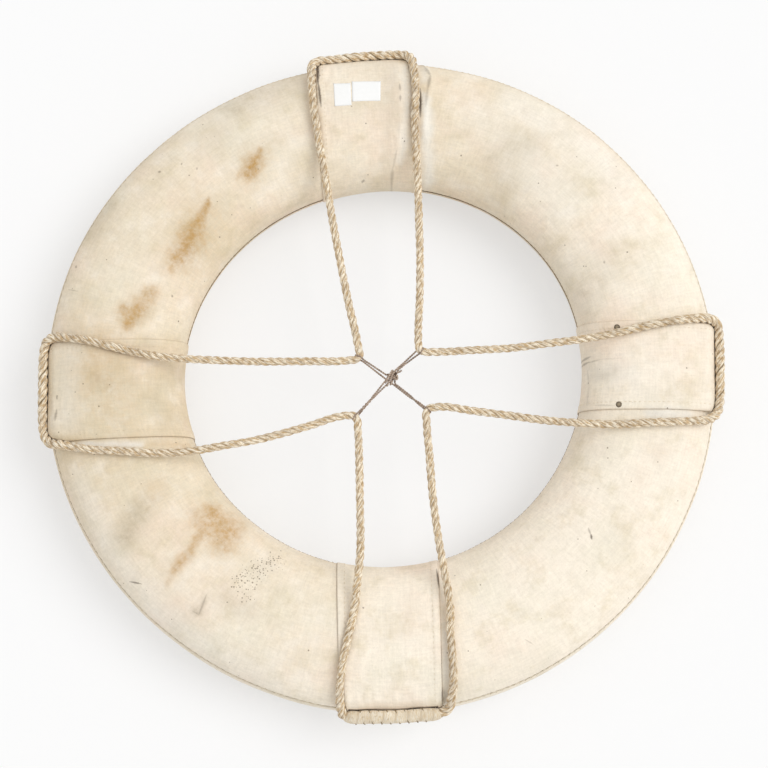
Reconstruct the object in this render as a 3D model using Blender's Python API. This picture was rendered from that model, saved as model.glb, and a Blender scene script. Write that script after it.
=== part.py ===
# Cork life ring. Two layers of cork blocks pinned with dowels fill a sewn canvas cover. Four canvas
# bands hold the grab line to the ring's edge, and its four slack loops are hauled across the face and
# lashed together with twine.
# Metres and degrees. +Z comes out of the front face, +Y is the top, and the bands stand on z = 0.
# "Round" is the angle round the ring from +X. "Over" is the angle over its section, from the outer
# edge across the front to the hole and back underneath.

from math import asin, ceil, cos, degrees, floor, hypot, pi, radians, sin

import bmesh
import bpy
import numpy as np
from mathutils import Matrix, Vector

# Ring, over its cover
outer_radius = 0.381
hole_radius = 0.2257
half_thickness = 0.051
corner_power = 2.4                 # 2 is an ellipse, more is squarer

# Out of round: waves round the ring, their height and where their crest is
outer_waves = [(2, 0.0040, 5.0), (3, 0.0018, 44.7)]
hole_waves = [(1, 0.0074, 71.0), (2, 0.0052, 15.0), (3, 0.0012, 49.7)]

# Facets round the ring, and the angles over the section where they meet
ring_sides = 64
section_angles = [0, 18, 38, 57, 83, 97, 123, 142, 160, 180, 204, 228, 252, 288, 312, 336]
outer_seam_angle = 18
inner_seam_angle = 180
foot_angle = 252                   # from here to its mirror image the underside is flat

# Walls and fits
clearance = 0.0003
cover_wall = 0.0014
band_wall = 0.0014
seam_half_width = 0.0012
seam_proud = 0.0009

# Cork and dowels
blocks_per_layer = 8
dowel_radius = 0.0063
dowel_cover = 0.013                # from a dowel's end to the cover's outside
bore_sides = 8

# Bands: where round the ring, and width
bands = {
    "top_band": (93.2, 0.114),
    "left_band": (182.0, 0.113),
    "bottom_band": (271.3, 0.115),
    "right_band": (2.0, 0.102),
}

# Tacks in the right band, and paper labels on the top band (width, height, tilt)
tack_places = [(12.1, 115.0), (353.0, 114.6)]
tack_head_radius = 0.0032
tack_head_height = 0.0013
tack_head_dome = [(1.0, 0.0), (0.86, 0.55), (0.45, 0.93)]    # shares of its radius and height
tack_shank_radius = 0.0008
tack_tip_radius = 0.0002
tack_tip_length = 0.003
tack_length = 0.012
tack_sides = 10
label_places = [(98.1, 69.5), (92.9, 69.5)]
label_sizes = [(0.019, 0.0285, -3.0), (0.031, 0.0240, -3.0)]
label_wall = 0.0003

# Grab line, its splice, and the twine that sews it to the bands
line_radius = 0.00475
line_tails_gap = 0.0006            # between its two ends, inside the splice
splice_radius = 0.0083
splice_length = 0.098
splice_taper = 0.022
splice_wall = 0.0010               # at its two thin ends
stitch_radius = 0.0008
stitch_pitch = 0.030
splice_stitch_pitch = 0.0225
stitching_runs = {                 # where round the ring they start and end, and where over the section
    "top_stitching": (88.2, 99.4, 19),
    "left_stitching": (177.2, 187.6, 25),
    "right_stitching": (356.8, 366.6, 24),
}
line_turn = 22.0                   # most that the line turns from one point to the next
line_step = 0.045
line_ring_step = 0.018             # the same on the ring, where longer chords would cut into a band
line_ring_reach = 0.030            # that shorter step starts this far inside the ring's middle

# Radii of the ring on which the places across its face were measured
measured_hole_radius = 0.2257
measured_middle_radius = 0.3034
line_corner_reach = 0.077          # from the middle to the line's outermost corner
line_sag = 0.0025                  # of the line's corners under its height on the ring

# Twine lashing at the middle
twine_radius = 0.0010
twine_spacing = 2 * twine_radius + 0.0006    # between the two strands of an arm
twine_levels = twine_radius + 0.0003         # half the height between the two crossing pairs
twine_slack = 0.0009               # the loops round the line are a little open
twine_turn = 20.0
twine_step = 0.016
knot_place = (0.0112, -0.0032)
knot_pitch = 2 * twine_radius + 0.0007
knot_turns = 2.78
knot_turn_points = 14
knot_start = 55.0
knot_squareness = 2.5

# The knot is as big as its twine makes it, so these are in twine radii, from the knot's middle
arm_start = 8.5 * twine_radius
first_arm_start = 14.5 * twine_radius
knot_half_height = 8.8 * twine_radius
knot_half_depth = 4.7 * twine_radius
knot_tail = twine_radius * np.array([(14.0, 10.0, 6.2), (9.5, 8.8, 6.0)])
knot_bend = twine_radius * np.array((5.2, 0.4, 0.0))

# Stack of surfaces, as heights over the cover's outside
band_out = clearance + band_wall
cork_out = -cover_wall - clearance
line_on_band = band_out + clearance + line_radius
line_on_edge = line_on_band + 2 * stitch_radius + 2 * clearance
splice_on_edge = line_on_edge - line_radius + splice_radius

middle_radius = (outer_radius + hole_radius) / 2
least_hole_radius = hole_radius - sum(height for _, height, _ in hole_waves)
dowel_length = 2 * (half_thickness - dowel_cover)
facet_step = 360 / ring_sides
facet_rounds = [k * facet_step for k in range(ring_sides)]


def superellipse_of(angle, power):
    """Point of a rounded square of half width 1, whose squareness is the power."""
    c = cos(radians(angle))
    s = sin(radians(angle))
    return np.array([np.sign(c) * abs(c) ** (2 / power), np.sign(s) * abs(s) ** (2 / power)])


def superellipse(over):
    return superellipse_of(over, corner_power)


foot_depth = -half_thickness * superellipse(foot_angle)[1]
middle_height = foot_depth + band_out


def wavy(mean, waves, around):
    """Mean radius plus, for each wave, its height times the cosine of its count times the angle
    from its crest."""
    return mean + sum(h * cos(count * radians(around - crest)) for count, h, crest in waves)


def facet_corners():
    """Corners of the ring's facets, and at each the offset that moves both facets beside it out
    by one."""
    corners = np.empty((ring_sides, len(section_angles), 3))
    offsets = np.empty_like(corners)
    for i, around in enumerate(facet_rounds):
        outside = wavy(outer_radius, outer_waves, around)
        inside = wavy(hole_radius, hole_waves, around)
        half_size = np.array([(outside - inside) / 2, half_thickness])
        outline = np.array([superellipse(over) * half_size for over in section_angles])
        edges = np.roll(outline, -1, axis=0) - outline
        normals = np.column_stack([edges[:, 1], -edges[:, 0]])
        normals /= np.linalg.norm(normals, axis=1)[:, None]
        before = np.roll(normals, 1, axis=0)
        mitres = (before + normals) / (1 + (before * normals).sum(axis=1))[:, None]
        outwards = np.array([cos(radians(around)), sin(radians(around)), 0])
        upwards = np.array([0, 0, 1])
        spread = outline[:, 0] + (outside + inside) / 2
        corners[i] = spread[:, None] * outwards + (outline[:, 1] + middle_height)[:, None] * upwards
        offsets[i] = mitres[:, 0][:, None] * outwards + mitres[:, 1][:, None] * upwards
    return corners, offsets


corners, offsets = facet_corners()


def place(around, over, lift=0.0):
    """Point on the faceted ring at these angles, lifted off the cover's outside."""
    u = (around / facet_step) % ring_sides
    v = float(np.interp(over % 360, section_angles + [360], range(len(section_angles) + 1)))
    i, f = int(u), u - int(u)
    j, g = int(v), v - int(v)
    lifted = corners + lift * offsets
    i_next = (i + 1) % ring_sides
    j, j_next = j % len(section_angles), (j + 1) % len(section_angles)
    near = lifted[i, j] * (1 - g) + lifted[i, j_next] * g
    far = lifted[i_next, j] * (1 - g) + lifted[i_next, j_next] * g
    return near * (1 - f) + far * f


def seat(around, over, lift):
    """Point on a facet, with its unit directions round the ring, over the section and outwards."""
    point = place(around, over, lift)
    i = floor(around / facet_step) * facet_step
    along = place(i + facet_step, over, lift) - place(i, over, lift)
    along /= np.linalg.norm(along)
    across = place(around, over + 1, lift) - place(around, over - 1, lift)
    across -= along * (across @ along)
    across /= np.linalg.norm(across)
    return point, along, across, np.cross(along, across)


def breaks(low, high, marks):
    """Low, the marks strictly between, and high."""
    return [low] + [m for m in marks if low < m < high] + [high]


def turned_marks(low, high):
    """The facets' angles over the range, which may pass the full turn."""
    first = floor(low / facet_step)
    last = ceil(high / facet_step)
    return [k * facet_step for k in range(first, last + 1)]


# Meshes and materials

def material(name, colour, roughness, metallic=0.0):
    made = bpy.data.materials.new(name)
    made.use_nodes = True
    shader = made.node_tree.nodes["Principled BSDF"]
    shader.inputs["Base Color"].default_value = (*colour, 1)
    shader.inputs["Roughness"].default_value = roughness
    shader.inputs["Metallic"].default_value = metallic
    return made


def add_object(name, data):
    obj = bpy.data.objects.new(name, data)
    bpy.context.scene.collection.objects.link(obj)
    obj.parent = bpy.data.objects["life_ring"]
    return obj


def mesh_from(name, shell, finish=None):
    """Mesh of what a bmesh holds, with its faces pointing out and its corners kept sharp."""
    bmesh.ops.recalc_face_normals(shell, faces=shell.faces)
    mesh = bpy.data.meshes.new(name)
    shell.to_mesh(mesh)
    shell.free()
    mesh.shade_smooth()
    mesh.set_sharp_from_angle(angle=radians(35))
    if finish:
        mesh.materials.append(finish)
    return mesh


def add_mesh(name, points, faces, finish=None):
    mesh = bpy.data.meshes.new(name + "_outline")
    mesh.from_pydata([tuple(map(float, p)) for p in points], [], faces)
    shell = bmesh.new()
    shell.from_mesh(mesh)
    bpy.data.meshes.remove(mesh)
    return add_object(name, mesh_from(name, shell, finish))


def ring_faces(rings, size, closed):
    """Quads between each ring of points and the next, each ring being a closed profile."""
    faces = []
    for i in range(rings if closed else rings - 1):
        near = i * size
        far = ((i + 1) % rings) * size
        for j in range(size):
            k = (j + 1) % size
            faces.append((near + j, near + k, far + k, far + j))
    return faces


def loft(name, profiles, finish, closed=False):
    """Solid carried through a run of closed profiles."""
    size = len(profiles[0])
    faces = ring_faces(len(profiles), size, closed)
    if not closed:
        last = (len(profiles) - 1) * size
        faces.append(tuple(reversed(range(size))))
        faces.append(tuple(range(last, last + size)))
    return add_mesh(name, [p for profile in profiles for p in profile], faces, finish)


def sleeve(name, outer_rings, inner_rings, finish):
    """Tube wall between an outer and an inner run of closed rings, open along its bore."""
    size = len(outer_rings[0])
    rings = len(outer_rings)
    inner = rings * size
    faces = ring_faces(rings, size, False)
    faces += [tuple(inner + k for k in reversed(face)) for face in ring_faces(rings, size, False)]
    last = (rings - 1) * size
    for j in range(size):
        k = (j + 1) % size
        faces.append((k, j, inner + j, inner + k))
        faces.append((last + j, last + k, inner + last + k, inner + last + j))
    points = [p for ring in outer_rings + inner_rings for p in ring]
    return add_mesh(name, points, faces, finish)


def boolean(obj, cutter, operation):
    modifier = obj.modifiers.new(cutter.name, "BOOLEAN")
    modifier.object = cutter
    modifier.operation = operation
    modifier.solver = "EXACT"


def cutter_from(obj):
    obj.hide_render = True
    obj.display_type = "WIRE"
    return obj


def add_cylinder(shell, radius, length, where):
    bmesh.ops.create_cone(shell, cap_ends=True, segments=bore_sides, radius1=radius, radius2=radius,
                          depth=length, matrix=where)


def facing(point, outwards):
    """Matrix that moves the origin to the point and turns +Z onto the direction."""
    turn = Vector(outwards).to_track_quat("Z", "Y").to_matrix().to_4x4()
    return Matrix.Translation(Vector(point)) @ turn


# Canvas cover: a front and a back shell that meet at two sewn seams

def trimmed(points, start, end):
    """A run of points whose two ends are drawn in by these lengths."""
    points = [p.copy() for p in points]
    first = points[1] - points[0]
    last = points[-2] - points[-1]
    points[0] += first * (start / np.linalg.norm(first))
    points[-1] += last * (end / np.linalg.norm(last))
    return points


def cover(name, first_over, last_over, finish):
    gap = seam_half_width + clearance
    overs = breaks(first_over, last_over, section_angles + [360])
    profiles = []
    for around in facet_rounds:
        outside = trimmed([place(around, over) for over in overs], gap, gap)
        inside = trimmed([place(around, over, -cover_wall) for over in overs], gap, gap)
        profiles.append(outside + inside[::-1])
    return loft(name, profiles, finish, closed=True)


def band_sideways(around, over, middle):
    """Distance of a place on the ring from the middle line of a band, and on which side."""
    x, y, _ = place(around, over)
    return y * cos(radians(middle)) - x * sin(radians(middle))


def under_a_band(around, over, margin):
    for middle, width in bands.values():
        on_this_side = cos(radians(around - middle)) > 0
        if on_this_side and abs(band_sideways(around, over, middle)) < width / 2 + margin:
            return True
    return False


def edge_of_band(middle, offset, over):
    """Angle round the ring at which its surface lies this far sideways of a band's middle line."""
    reach = 0.0
    for _ in range(4):
        x, y, _ = place(middle + reach, over)
        reach = degrees(asin(offset / hypot(x, y)))
    return (middle + reach) % 360


def seam(name, over, finish):
    """Sewn ridge that fills the joint between the shells. It is flush where a band covers it."""
    near_margin = 0.001
    far_margin = 0.004
    stations = set(facet_rounds)
    for middle, width in bands.values():
        for margin in (near_margin, far_margin):
            for side in (-1, 1):
                stations.add(edge_of_band(middle, side * (width / 2 + margin), over))
    step = 0.25                    # degrees over the section, only for the direction
    low = clearance - cover_wall
    profiles = []
    for around in sorted(stations):
        high = 0.0 if under_a_band(around, over, (near_margin + far_margin) / 2) else seam_proud
        profile = []
        for lift, sides in ((low, (-1, 1)), (high, (1, -1))):
            joint = place(around, over, lift)
            for side in sides:
                way = place(around, over + side * step, lift) - joint
                profile.append(joint + way * (seam_half_width / np.linalg.norm(way)))
        profiles.append(profile)
    return loft(name, profiles, finish, closed=True)


# Cork blocks, dowels and their bores

def cork_block(name, start, overs, joint_shift, finish):
    span = 360 / blocks_per_layer
    gap = degrees(clearance / 2 / least_hole_radius)
    low, high = start + gap, start + span - gap
    profiles = []
    for around in breaks(low, high, turned_marks(low, high)):
        profile = [place(around, over, cork_out) for over in overs]
        profile[0][2] = middle_height + joint_shift
        profile[-1][2] = middle_height + joint_shift
        profiles.append(profile)
    return loft(name, profiles, finish)


def dowel_place(number):
    around = (number + 0.5) * 180 / blocks_per_layer
    radius = (wavy(outer_radius, outer_waves, around) + wavy(hole_radius, hole_waves, around)) / 2
    return np.array([radius * cos(radians(around)), radius * sin(radians(around)), middle_height])


def dowel_bores():
    shell = bmesh.new()
    radius = dowel_radius + clearance / cos(pi / bore_sides)
    for number in range(2 * blocks_per_layer):
        add_cylinder(shell, radius, dowel_length + 2 * clearance,
                     Matrix.Translation(Vector(dowel_place(number))))
    return cutter_from(add_object("dowel_bores", mesh_from("dowel_bores", shell)))


# Bands: a closed wrap round the section, cut to a straight strip

def band(name, middle, width, finish):
    reach = degrees(asin(width / 2 / (least_hole_radius - 2 * band_out)))
    low = floor((middle - reach) / facet_step) * facet_step
    high = ceil((middle + reach) / facet_step) * facet_step
    rounds = np.arange(low, high + facet_step / 2, facet_step)
    outer = [[place(around, over, band_out) for over in section_angles] for around in rounds]
    inner = [[place(around, over, clearance) for over in section_angles] for around in rounds]
    obj = sleeve(name, outer, inner, finish)
    corners_of_cut = []
    for x in (0.0, outer_radius * 1.3):
        for y in (-width / 2, width / 2):
            for z in (-outer_radius, outer_radius):
                c, s = cos(radians(middle)), sin(radians(middle))
                corners_of_cut.append((x * c - y * s, x * s + y * c, z))
    faces = [(0, 1, 3, 2), (4, 6, 7, 5), (0, 4, 5, 1), (2, 3, 7, 6), (0, 2, 6, 4), (1, 5, 7, 3)]
    boolean(obj, cutter_from(add_mesh(name + "_strip", corners_of_cut, faces)), "INTERSECT")
    return obj


# Tacks and labels

def tack_mesh(finish):
    """Low domed head on a shank, turned about Z, with the head's underside at the origin."""
    profile = [
        (tack_tip_radius, -tack_length),
        (tack_shank_radius, -tack_length + tack_tip_length),
        (tack_shank_radius, 0.0),
    ]
    profile += [(tack_head_radius * r, tack_head_height * z) for r, z in tack_head_dome]
    shell = bmesh.new()
    rings = []
    for radius, z in profile:
        angles = [2 * pi * k / tack_sides for k in range(tack_sides)]
        rings.append([shell.verts.new((radius * cos(a), radius * sin(a), z)) for a in angles])
    for near, far in zip(rings, rings[1:]):
        for k in range(tack_sides):
            after = (k + 1) % tack_sides
            shell.faces.new((near[k], near[after], far[after], far[k]))
    shell.faces.new(rings[0])
    shell.faces.new(rings[-1])
    return mesh_from("tack", shell, finish)


def tack_bores():
    shell = bmesh.new()
    past = 2 * clearance               # the bores start clear over the band
    length = past + tack_length + clearance
    radius = (tack_shank_radius + clearance) / cos(pi / bore_sides)
    for around, over in tack_places:
        point, _, _, outwards = seat(around, over, band_out + clearance)
        add_cylinder(shell, radius, length, facing(point + outwards * (past - length / 2), outwards))
    return cutter_from(add_object("tack_bores", mesh_from("tack_bores", shell)))


def label(name, around, over, width, height, tilt, finish):
    point, along, across, outwards = seat(around, over, band_out + clearance + label_wall / 2)
    shell = bmesh.new()
    bmesh.ops.create_cube(shell, size=1, matrix=Matrix.Diagonal((width, height, label_wall, 1)))
    obj = add_object(name, mesh_from(name, shell, finish))
    axes = Matrix(np.column_stack([-along, -across, outwards]).tolist()).to_4x4()
    obj.matrix_world = Matrix.Translation(Vector(point)) @ axes @ Matrix.Rotation(radians(tilt), 4, "Z")
    return obj


# Curves

def smooth_curve(points, closed, per_span=24):
    """Centripetal Catmull-Rom curve through the points, as close samples."""
    points = np.asarray(points, float)
    count = len(points)
    if closed:
        padded = np.vstack([points[-1:], points, points[:2]])
    else:
        padded = np.vstack([2 * points[0] - points[1], points, 2 * points[-1] - points[-2]])
    samples = []
    for k in range(count if closed else count - 1):
        p0, p1, p2, p3 = padded[k:k + 4]
        t0 = 0.0
        t1 = t0 + np.linalg.norm(p1 - p0) ** 0.5
        t2 = t1 + np.linalg.norm(p2 - p1) ** 0.5
        t3 = t2 + np.linalg.norm(p3 - p2) ** 0.5
        for t in np.linspace(t1, t2, per_span, endpoint=False):
            a1 = (t1 - t) / (t1 - t0) * p0 + (t - t0) / (t1 - t0) * p1
            a2 = (t2 - t) / (t2 - t1) * p1 + (t - t1) / (t2 - t1) * p2
            a3 = (t3 - t) / (t3 - t2) * p2 + (t - t2) / (t3 - t2) * p3
            b1 = (t2 - t) / (t2 - t0) * a1 + (t - t0) / (t2 - t0) * a2
            b2 = (t3 - t) / (t3 - t1) * a2 + (t - t1) / (t3 - t1) * a3
            samples.append((t2 - t) / (t2 - t1) * b1 + (t - t1) / (t2 - t1) * b2)
    if not closed:
        samples.append(points[-1])
    return np.array(samples)


def lengths_along(points):
    return np.concatenate([[0], np.cumsum(np.linalg.norm(np.diff(points, axis=0), axis=1))])


def at_length(points, spots):
    """Points at these lengths along a run."""
    along = lengths_along(points)
    return np.column_stack([np.interp(spots, along, points[:, axis]) for axis in range(3)])


def with_stations(points, step):
    """The run with more points put in, so that none are further apart than the step."""
    along = lengths_along(points)
    extra = np.linspace(0, along[-1], ceil(along[-1] / step) + 1)
    return at_length(points, np.unique(np.round(np.concatenate([along, extra]), 6)))


def length_beside(points, spot):
    """Length along a run at which it passes closest to a spot."""
    spots = np.arange(0, lengths_along(points)[-1], line_radius / 8)
    return spots[np.argmin(np.linalg.norm(at_length(points, spots) - spot, axis=1))]


def part_of(points, start, end):
    """The stretch of a run of points between two lengths along it, with exact ends."""
    along = lengths_along(points)
    keep = (along > start + 1e-6) & (along < end - 1e-6)
    ends = at_length(points, [start, end])
    return np.vstack([ends[:1], points[keep], ends[1:]])


def thinned(points, most_turn, most_step, ring_step=None):
    """Fewer of the points: the next one is taken where the run has turned or gone far enough.
    Against the ring's face and edge the steps may be shorter."""
    on_ring_side = np.hypot(points[:, 0], points[:, 1]) > middle_radius - line_ring_reach
    directions = np.diff(points, axis=0)
    directions /= np.linalg.norm(directions, axis=1)[:, None]
    chosen = [0]
    turned = 0.0
    gone = 0.0
    for k in range(1, len(points) - 1):
        gone += np.linalg.norm(points[k] - points[k - 1])
        turned += degrees(np.arccos(np.clip(directions[k] @ directions[k - 1], -1, 1)))
        step = ring_step if ring_step and on_ring_side[k] else most_step
        if turned >= most_turn or gone >= step:
            chosen.append(k)
            turned = 0.0
            gone = 0.0
    return points[chosen + [len(points) - 1]]


def tube(name, points, radius, resolution, finish):
    curve = bpy.data.curves.new(name, "CURVE")
    curve.dimensions = "3D"
    curve.bevel_depth = radius
    curve.bevel_resolution = resolution
    curve.use_fill_caps = True
    spline = curve.splines.new("POLY")
    spline.points.add(len(points) - 1)
    for spot, point in zip(spline.points, points):
        spot.co = (*map(float, point), 1)
    curve.materials.append(finish)
    return add_object(name, curve)


def carried_frames(points):
    """Two directions square to the run at each point, carried along it without twist."""
    tangents = np.gradient(points, axis=0)
    tangents /= np.linalg.norm(tangents, axis=1)[:, None]
    side = np.cross(tangents[0], (0, 0, 1))
    side /= np.linalg.norm(side)
    firsts, seconds = [], []
    for tangent in tangents:
        side = side - tangent * (side @ tangent)
        side /= np.linalg.norm(side)
        firsts.append(side)
        seconds.append(np.cross(tangent, side))
    return np.array(firsts), np.array(seconds)


def wound_round(points, radius, pitch, per_turn=12):
    """Right-handed helix about a run of points, whose chords keep the radius."""
    along = lengths_along(points)
    radius = radius / cos(pi / per_turn)
    firsts, seconds = carried_frames(points)
    count = ceil(along[-1] / pitch * per_turn)
    helix = []
    for s in np.linspace(0, along[-1], count + 1):
        angle = 2 * pi * s / pitch
        middle = np.array([np.interp(s, along, points[:, a]) for a in range(3)])
        first = np.array([np.interp(s, along, firsts[:, a]) for a in range(3)])
        second = np.array([np.interp(s, along, seconds[:, a]) for a in range(3)])
        helix.append(middle + radius * (cos(angle) * first + sin(angle) * second))
    return np.array(helix)


def least_gap(points, diameter):
    """Least clear distance between stretches of one tube that are more than three diameters apart
    along it."""
    along = lengths_along(points)
    fine = np.linspace(0, along[-1], int(along[-1] / (diameter / 4)))
    spots = at_length(points, fine)
    away = np.linalg.norm(spots[:, None] - spots[None], axis=2)
    apart = np.abs(fine[:, None] - fine[None]) > 3 * diameter
    return away[apart].min() - diameter


# Grab line's route

def across(x, y):
    """Point of the line over the face or the hole. It is carried in or out with the ring's radii, and
    hangs a little lower towards the middle."""
    reach = hypot(x, y)
    measured = [0, measured_hole_radius, measured_middle_radius]
    moved = np.interp(reach, measured, [0, hole_radius, middle_radius])
    drop = np.interp(reach, [line_corner_reach, measured_hole_radius], [line_sag, 0])
    height = place(90, 90, line_on_band)[2]
    return np.array([x * moved / reach, y * moved / reach, height - drop])


def grab_line_route():
    """Four loops, in order from the splice. What is added to a height is how much it stands off there."""
    lift = line_on_band + 0.0004
    edge = line_on_edge
    knee = line_on_band + 0.0015
    rise = line_on_band + 0.0012
    splice = splice_on_edge
    return [
        place(271.8, 27, splice), place(275.4, 27, splice), place(278.6, 26, splice - 0.001),
        place(280.9, 29, edge), place(282.2, 44, knee), place(283.0, 57, rise), place(283.9, 76, rise),
        place(284.7, 90, lift), across(0.0755, -0.2620), across(0.0705, -0.2270),
        across(0.0635, -0.1890), across(0.0570, -0.1410), across(0.0532, -0.0900),
        across(0.0515, -0.0580), across(0.0540, -0.0410), across(0.0700, -0.0378),
        across(0.1000, -0.0415), across(0.1440, -0.0464), across(0.1820, -0.0498),
        across(0.2300, -0.0532), across(0.2620, -0.0550), place(349.9, 90, lift),
        place(350.7, 76, rise), place(351.8, 57, rise), place(352.6, 42, knee), place(354.4, 27, edge),
        place(358.0, 26, edge), place(361.5, 25, edge), place(365.5, 21, edge), place(368.8, 21, edge),
        place(370.4, 42, knee), place(370.8, 57, rise), place(371.0, 76, rise), place(371.0, 90, lift),
        across(0.2600, 0.0495), across(0.2226, 0.0424), across(0.1820, 0.0360), across(0.1445, 0.0310),
        across(0.1000, 0.0280), across(0.0620, 0.0262), across(0.0453, 0.0300), across(0.0418, 0.0470),
        across(0.0425, 0.0850), across(0.0431, 0.1345), across(0.0420, 0.1750), across(0.0410, 0.2148),
        across(0.0395, 0.2500), place(82.9, 90, lift), place(83.2, 76, rise), place(83.8, 57, rise),
        place(84.5, 42, knee), place(86.1, 24, edge + 0.0020), place(89.5, 19, edge + 0.0006),
        place(93.7, 18, edge), place(97.8, 19, edge + 0.0005), place(101.2, 24, edge + 0.0015),
        place(102.8, 42, knee), place(103.4, 57, rise), place(104.1, 76, rise), place(104.6, 90, lift),
        across(-0.0688, 0.2500), across(-0.0624, 0.2148), across(-0.0565, 0.1780),
        across(-0.0502, 0.1438), across(-0.0395, 0.0880), across(-0.0302, 0.0400),
        across(-0.0292, 0.0220), across(-0.0460, 0.0168), across(-0.0850, 0.0155),
        across(-0.1400, 0.0150), across(-0.1900, 0.0165), across(-0.2371, 0.0190),
        across(-0.2680, 0.0235), place(174.0, 90, lift), place(173.3, 76, rise), place(173.1, 57, rise),
        place(173.4, 42, knee), place(174.9, 28, edge), place(178.2, 27, edge), place(182.2, 27, edge),
        place(186.4, 23, edge), place(189.8, 23, edge), place(192.0, 42, knee), place(193.2, 57, rise),
        place(194.9, 76, rise), place(196.4, 90, lift), across(-0.2540, -0.0887),
        across(-0.2165, -0.0870), across(-0.1773, -0.0803), across(-0.1393, -0.0735),
        across(-0.0850, -0.0600), across(-0.0480, -0.0495), across(-0.0312, -0.0500),
        across(-0.0270, -0.0660), across(-0.0255, -0.1000), across(-0.0247, -0.1410),
        across(-0.0242, -0.1990), across(-0.0279, -0.2366), across(-0.0305, -0.2620),
        place(262.7, 90, lift), place(262.3, 76, rise), place(262.2, 57, rise), place(262.6, 43, knee),
        place(264.3, 30, splice - 0.001), place(268.0, 27, splice),
    ]


def splice_rings(path, radii, sides):
    firsts, seconds = carried_frames(path)
    angles = [2 * pi * k / sides for k in range(sides)]
    return [[middle + r * (cos(a) * first + sin(a) * second) for a in angles]
            for middle, r, first, second in zip(path, radii, firsts, seconds)]


def line_splice(name, path, finish):
    """Long fat place where the two ends are tucked through each other, tapered at both ends."""
    along = lengths_along(path)
    sides = 8
    bore = (line_radius + clearance) / cos(pi / sides)
    thin = bore + splice_wall
    from_end = np.minimum(along, along[-1] - along)
    swell = np.sin(np.clip(from_end / splice_taper, 0, 1) * pi / 2)
    outer = splice_rings(path, thin + (splice_radius - thin) * swell, sides)
    inner = splice_rings(path, np.full(len(path), bore), sides)
    return sleeve(name, outer, inner, finish)


# Twine lashing

def twine_arm(knot, corner, side, level, start_away=arm_start):
    """Out along one side of an arm, over the line, round it, and back under it along the other side."""
    away = corner - knot
    away[2] = 0
    reach = np.linalg.norm(away)
    away /= reach
    across = np.array([-away[1], away[0], 0]) * side * twine_spacing / 2
    up = np.array([0, 0, 1.0])
    start = knot + away * start_away + across + up * level
    loop = line_radius + clearance + twine_radius + twine_slack
    turned = []
    for angle in (80, 50, 20, -20, -50, -80):
        shift = across * (angle / 80)
        outwards = away * cos(radians(angle)) + up * sin(radians(angle))
        turned.append(corner + outwards * loop + shift)
    back = knot + away * arm_start - across + up * level
    half_out = (start + turned[0]) / 2
    half_back = (back + turned[-1]) / 2
    return [start, half_out] + turned + [half_back, back]


def nearest_to(knot, path, low, high):
    """The grab line's point that comes closest to the knot, between two directions from it."""
    away = path - knot
    angles = np.degrees(np.arctan2(away[:, 1], away[:, 0])) % 360
    inside = (angles > low) & (angles < high)
    return path[inside][np.argmin(np.linalg.norm(away[inside], axis=1))]


def twine_route(path):
    height = place(90, 90, line_on_band)[2] - line_sag
    knot = np.array([*knot_place, height])
    north_east, north_west, south_west, south_east = (
        nearest_to(knot, path, quarter, quarter + 90) for quarter in (0, 90, 180, 270))
    turned = 360 * knot_turns
    coil = []
    count = round(knot_turns * knot_turn_points) + 1
    for angle in np.linspace(knot_start, knot_start + turned, count):
        x = knot_pitch * (knot_turns / 2 - (angle - knot_start) / 360)
        y, z = superellipse_of(angle, knot_squareness) * (knot_half_height, knot_half_depth)
        coil.append(knot + np.array([x, y, z]))
    tail = [knot + spot for spot in knot_tail]
    bend = [knot + knot_bend]
    return (tail + coil + twine_arm(knot, north_west, -1, -twine_levels, first_arm_start)
            + twine_arm(knot, south_east, -1, -twine_levels) + bend
            + twine_arm(knot, north_east, -1, twine_levels)
            + twine_arm(knot, south_west, -1, twine_levels))


# Build

def clear_scene():
    for obj in list(bpy.data.objects):
        bpy.data.objects.remove(obj, do_unlink=True)
    bpy.context.scene.collection.objects.link(bpy.data.objects.new("life_ring", None))


def build_cork():
    cork = material("cork", (0.55, 0.36, 0.20), 0.9)
    ash = material("ash_dowel", (0.62, 0.48, 0.31), 0.6)
    bores = dowel_bores()
    nail_bores = tack_bores()
    span = 360 / blocks_per_layer
    front_overs = breaks(0, 180, section_angles)
    back_overs = breaks(180, 360, section_angles)
    for k in range(blocks_per_layer):
        front = cork_block(f"cork_front_{k + 1}", k * span, front_overs, clearance / 2, cork)
        back = cork_block(f"cork_back_{k + 1}", (k + 0.5) * span, back_overs, -clearance / 2, cork)
        boolean(front, bores, "DIFFERENCE")
        boolean(back, bores, "DIFFERENCE")
        if any(k * span <= around < (k + 1) * span for around, _ in tack_places):
            boolean(front, nail_bores, "DIFFERENCE")
    shell = bmesh.new()
    add_cylinder(shell, dowel_radius, dowel_length, Matrix())
    mesh = mesh_from("dowel", shell, ash)
    for number in range(2 * blocks_per_layer):
        add_object(f"dowel_{number + 1}", mesh).location = dowel_place(number)
    return nail_bores


def build_canvas(nail_bores):
    canvas = material("painted_canvas", (0.78, 0.76, 0.68), 0.6)
    thread = material("seam_thread", (0.42, 0.31, 0.20), 0.8)
    front = cover("front_cover", outer_seam_angle, inner_seam_angle, canvas)
    cover("back_cover", inner_seam_angle, 360 + outer_seam_angle, canvas)
    seam("outer_seam", outer_seam_angle, thread)
    seam("inner_seam", inner_seam_angle, thread)
    boolean(front, nail_bores, "DIFFERENCE")
    for name, (middle, width) in bands.items():
        wrap = band(name, middle, width, canvas)
        if name == "right_band":
            boolean(wrap, nail_bores, "DIFFERENCE")


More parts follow.
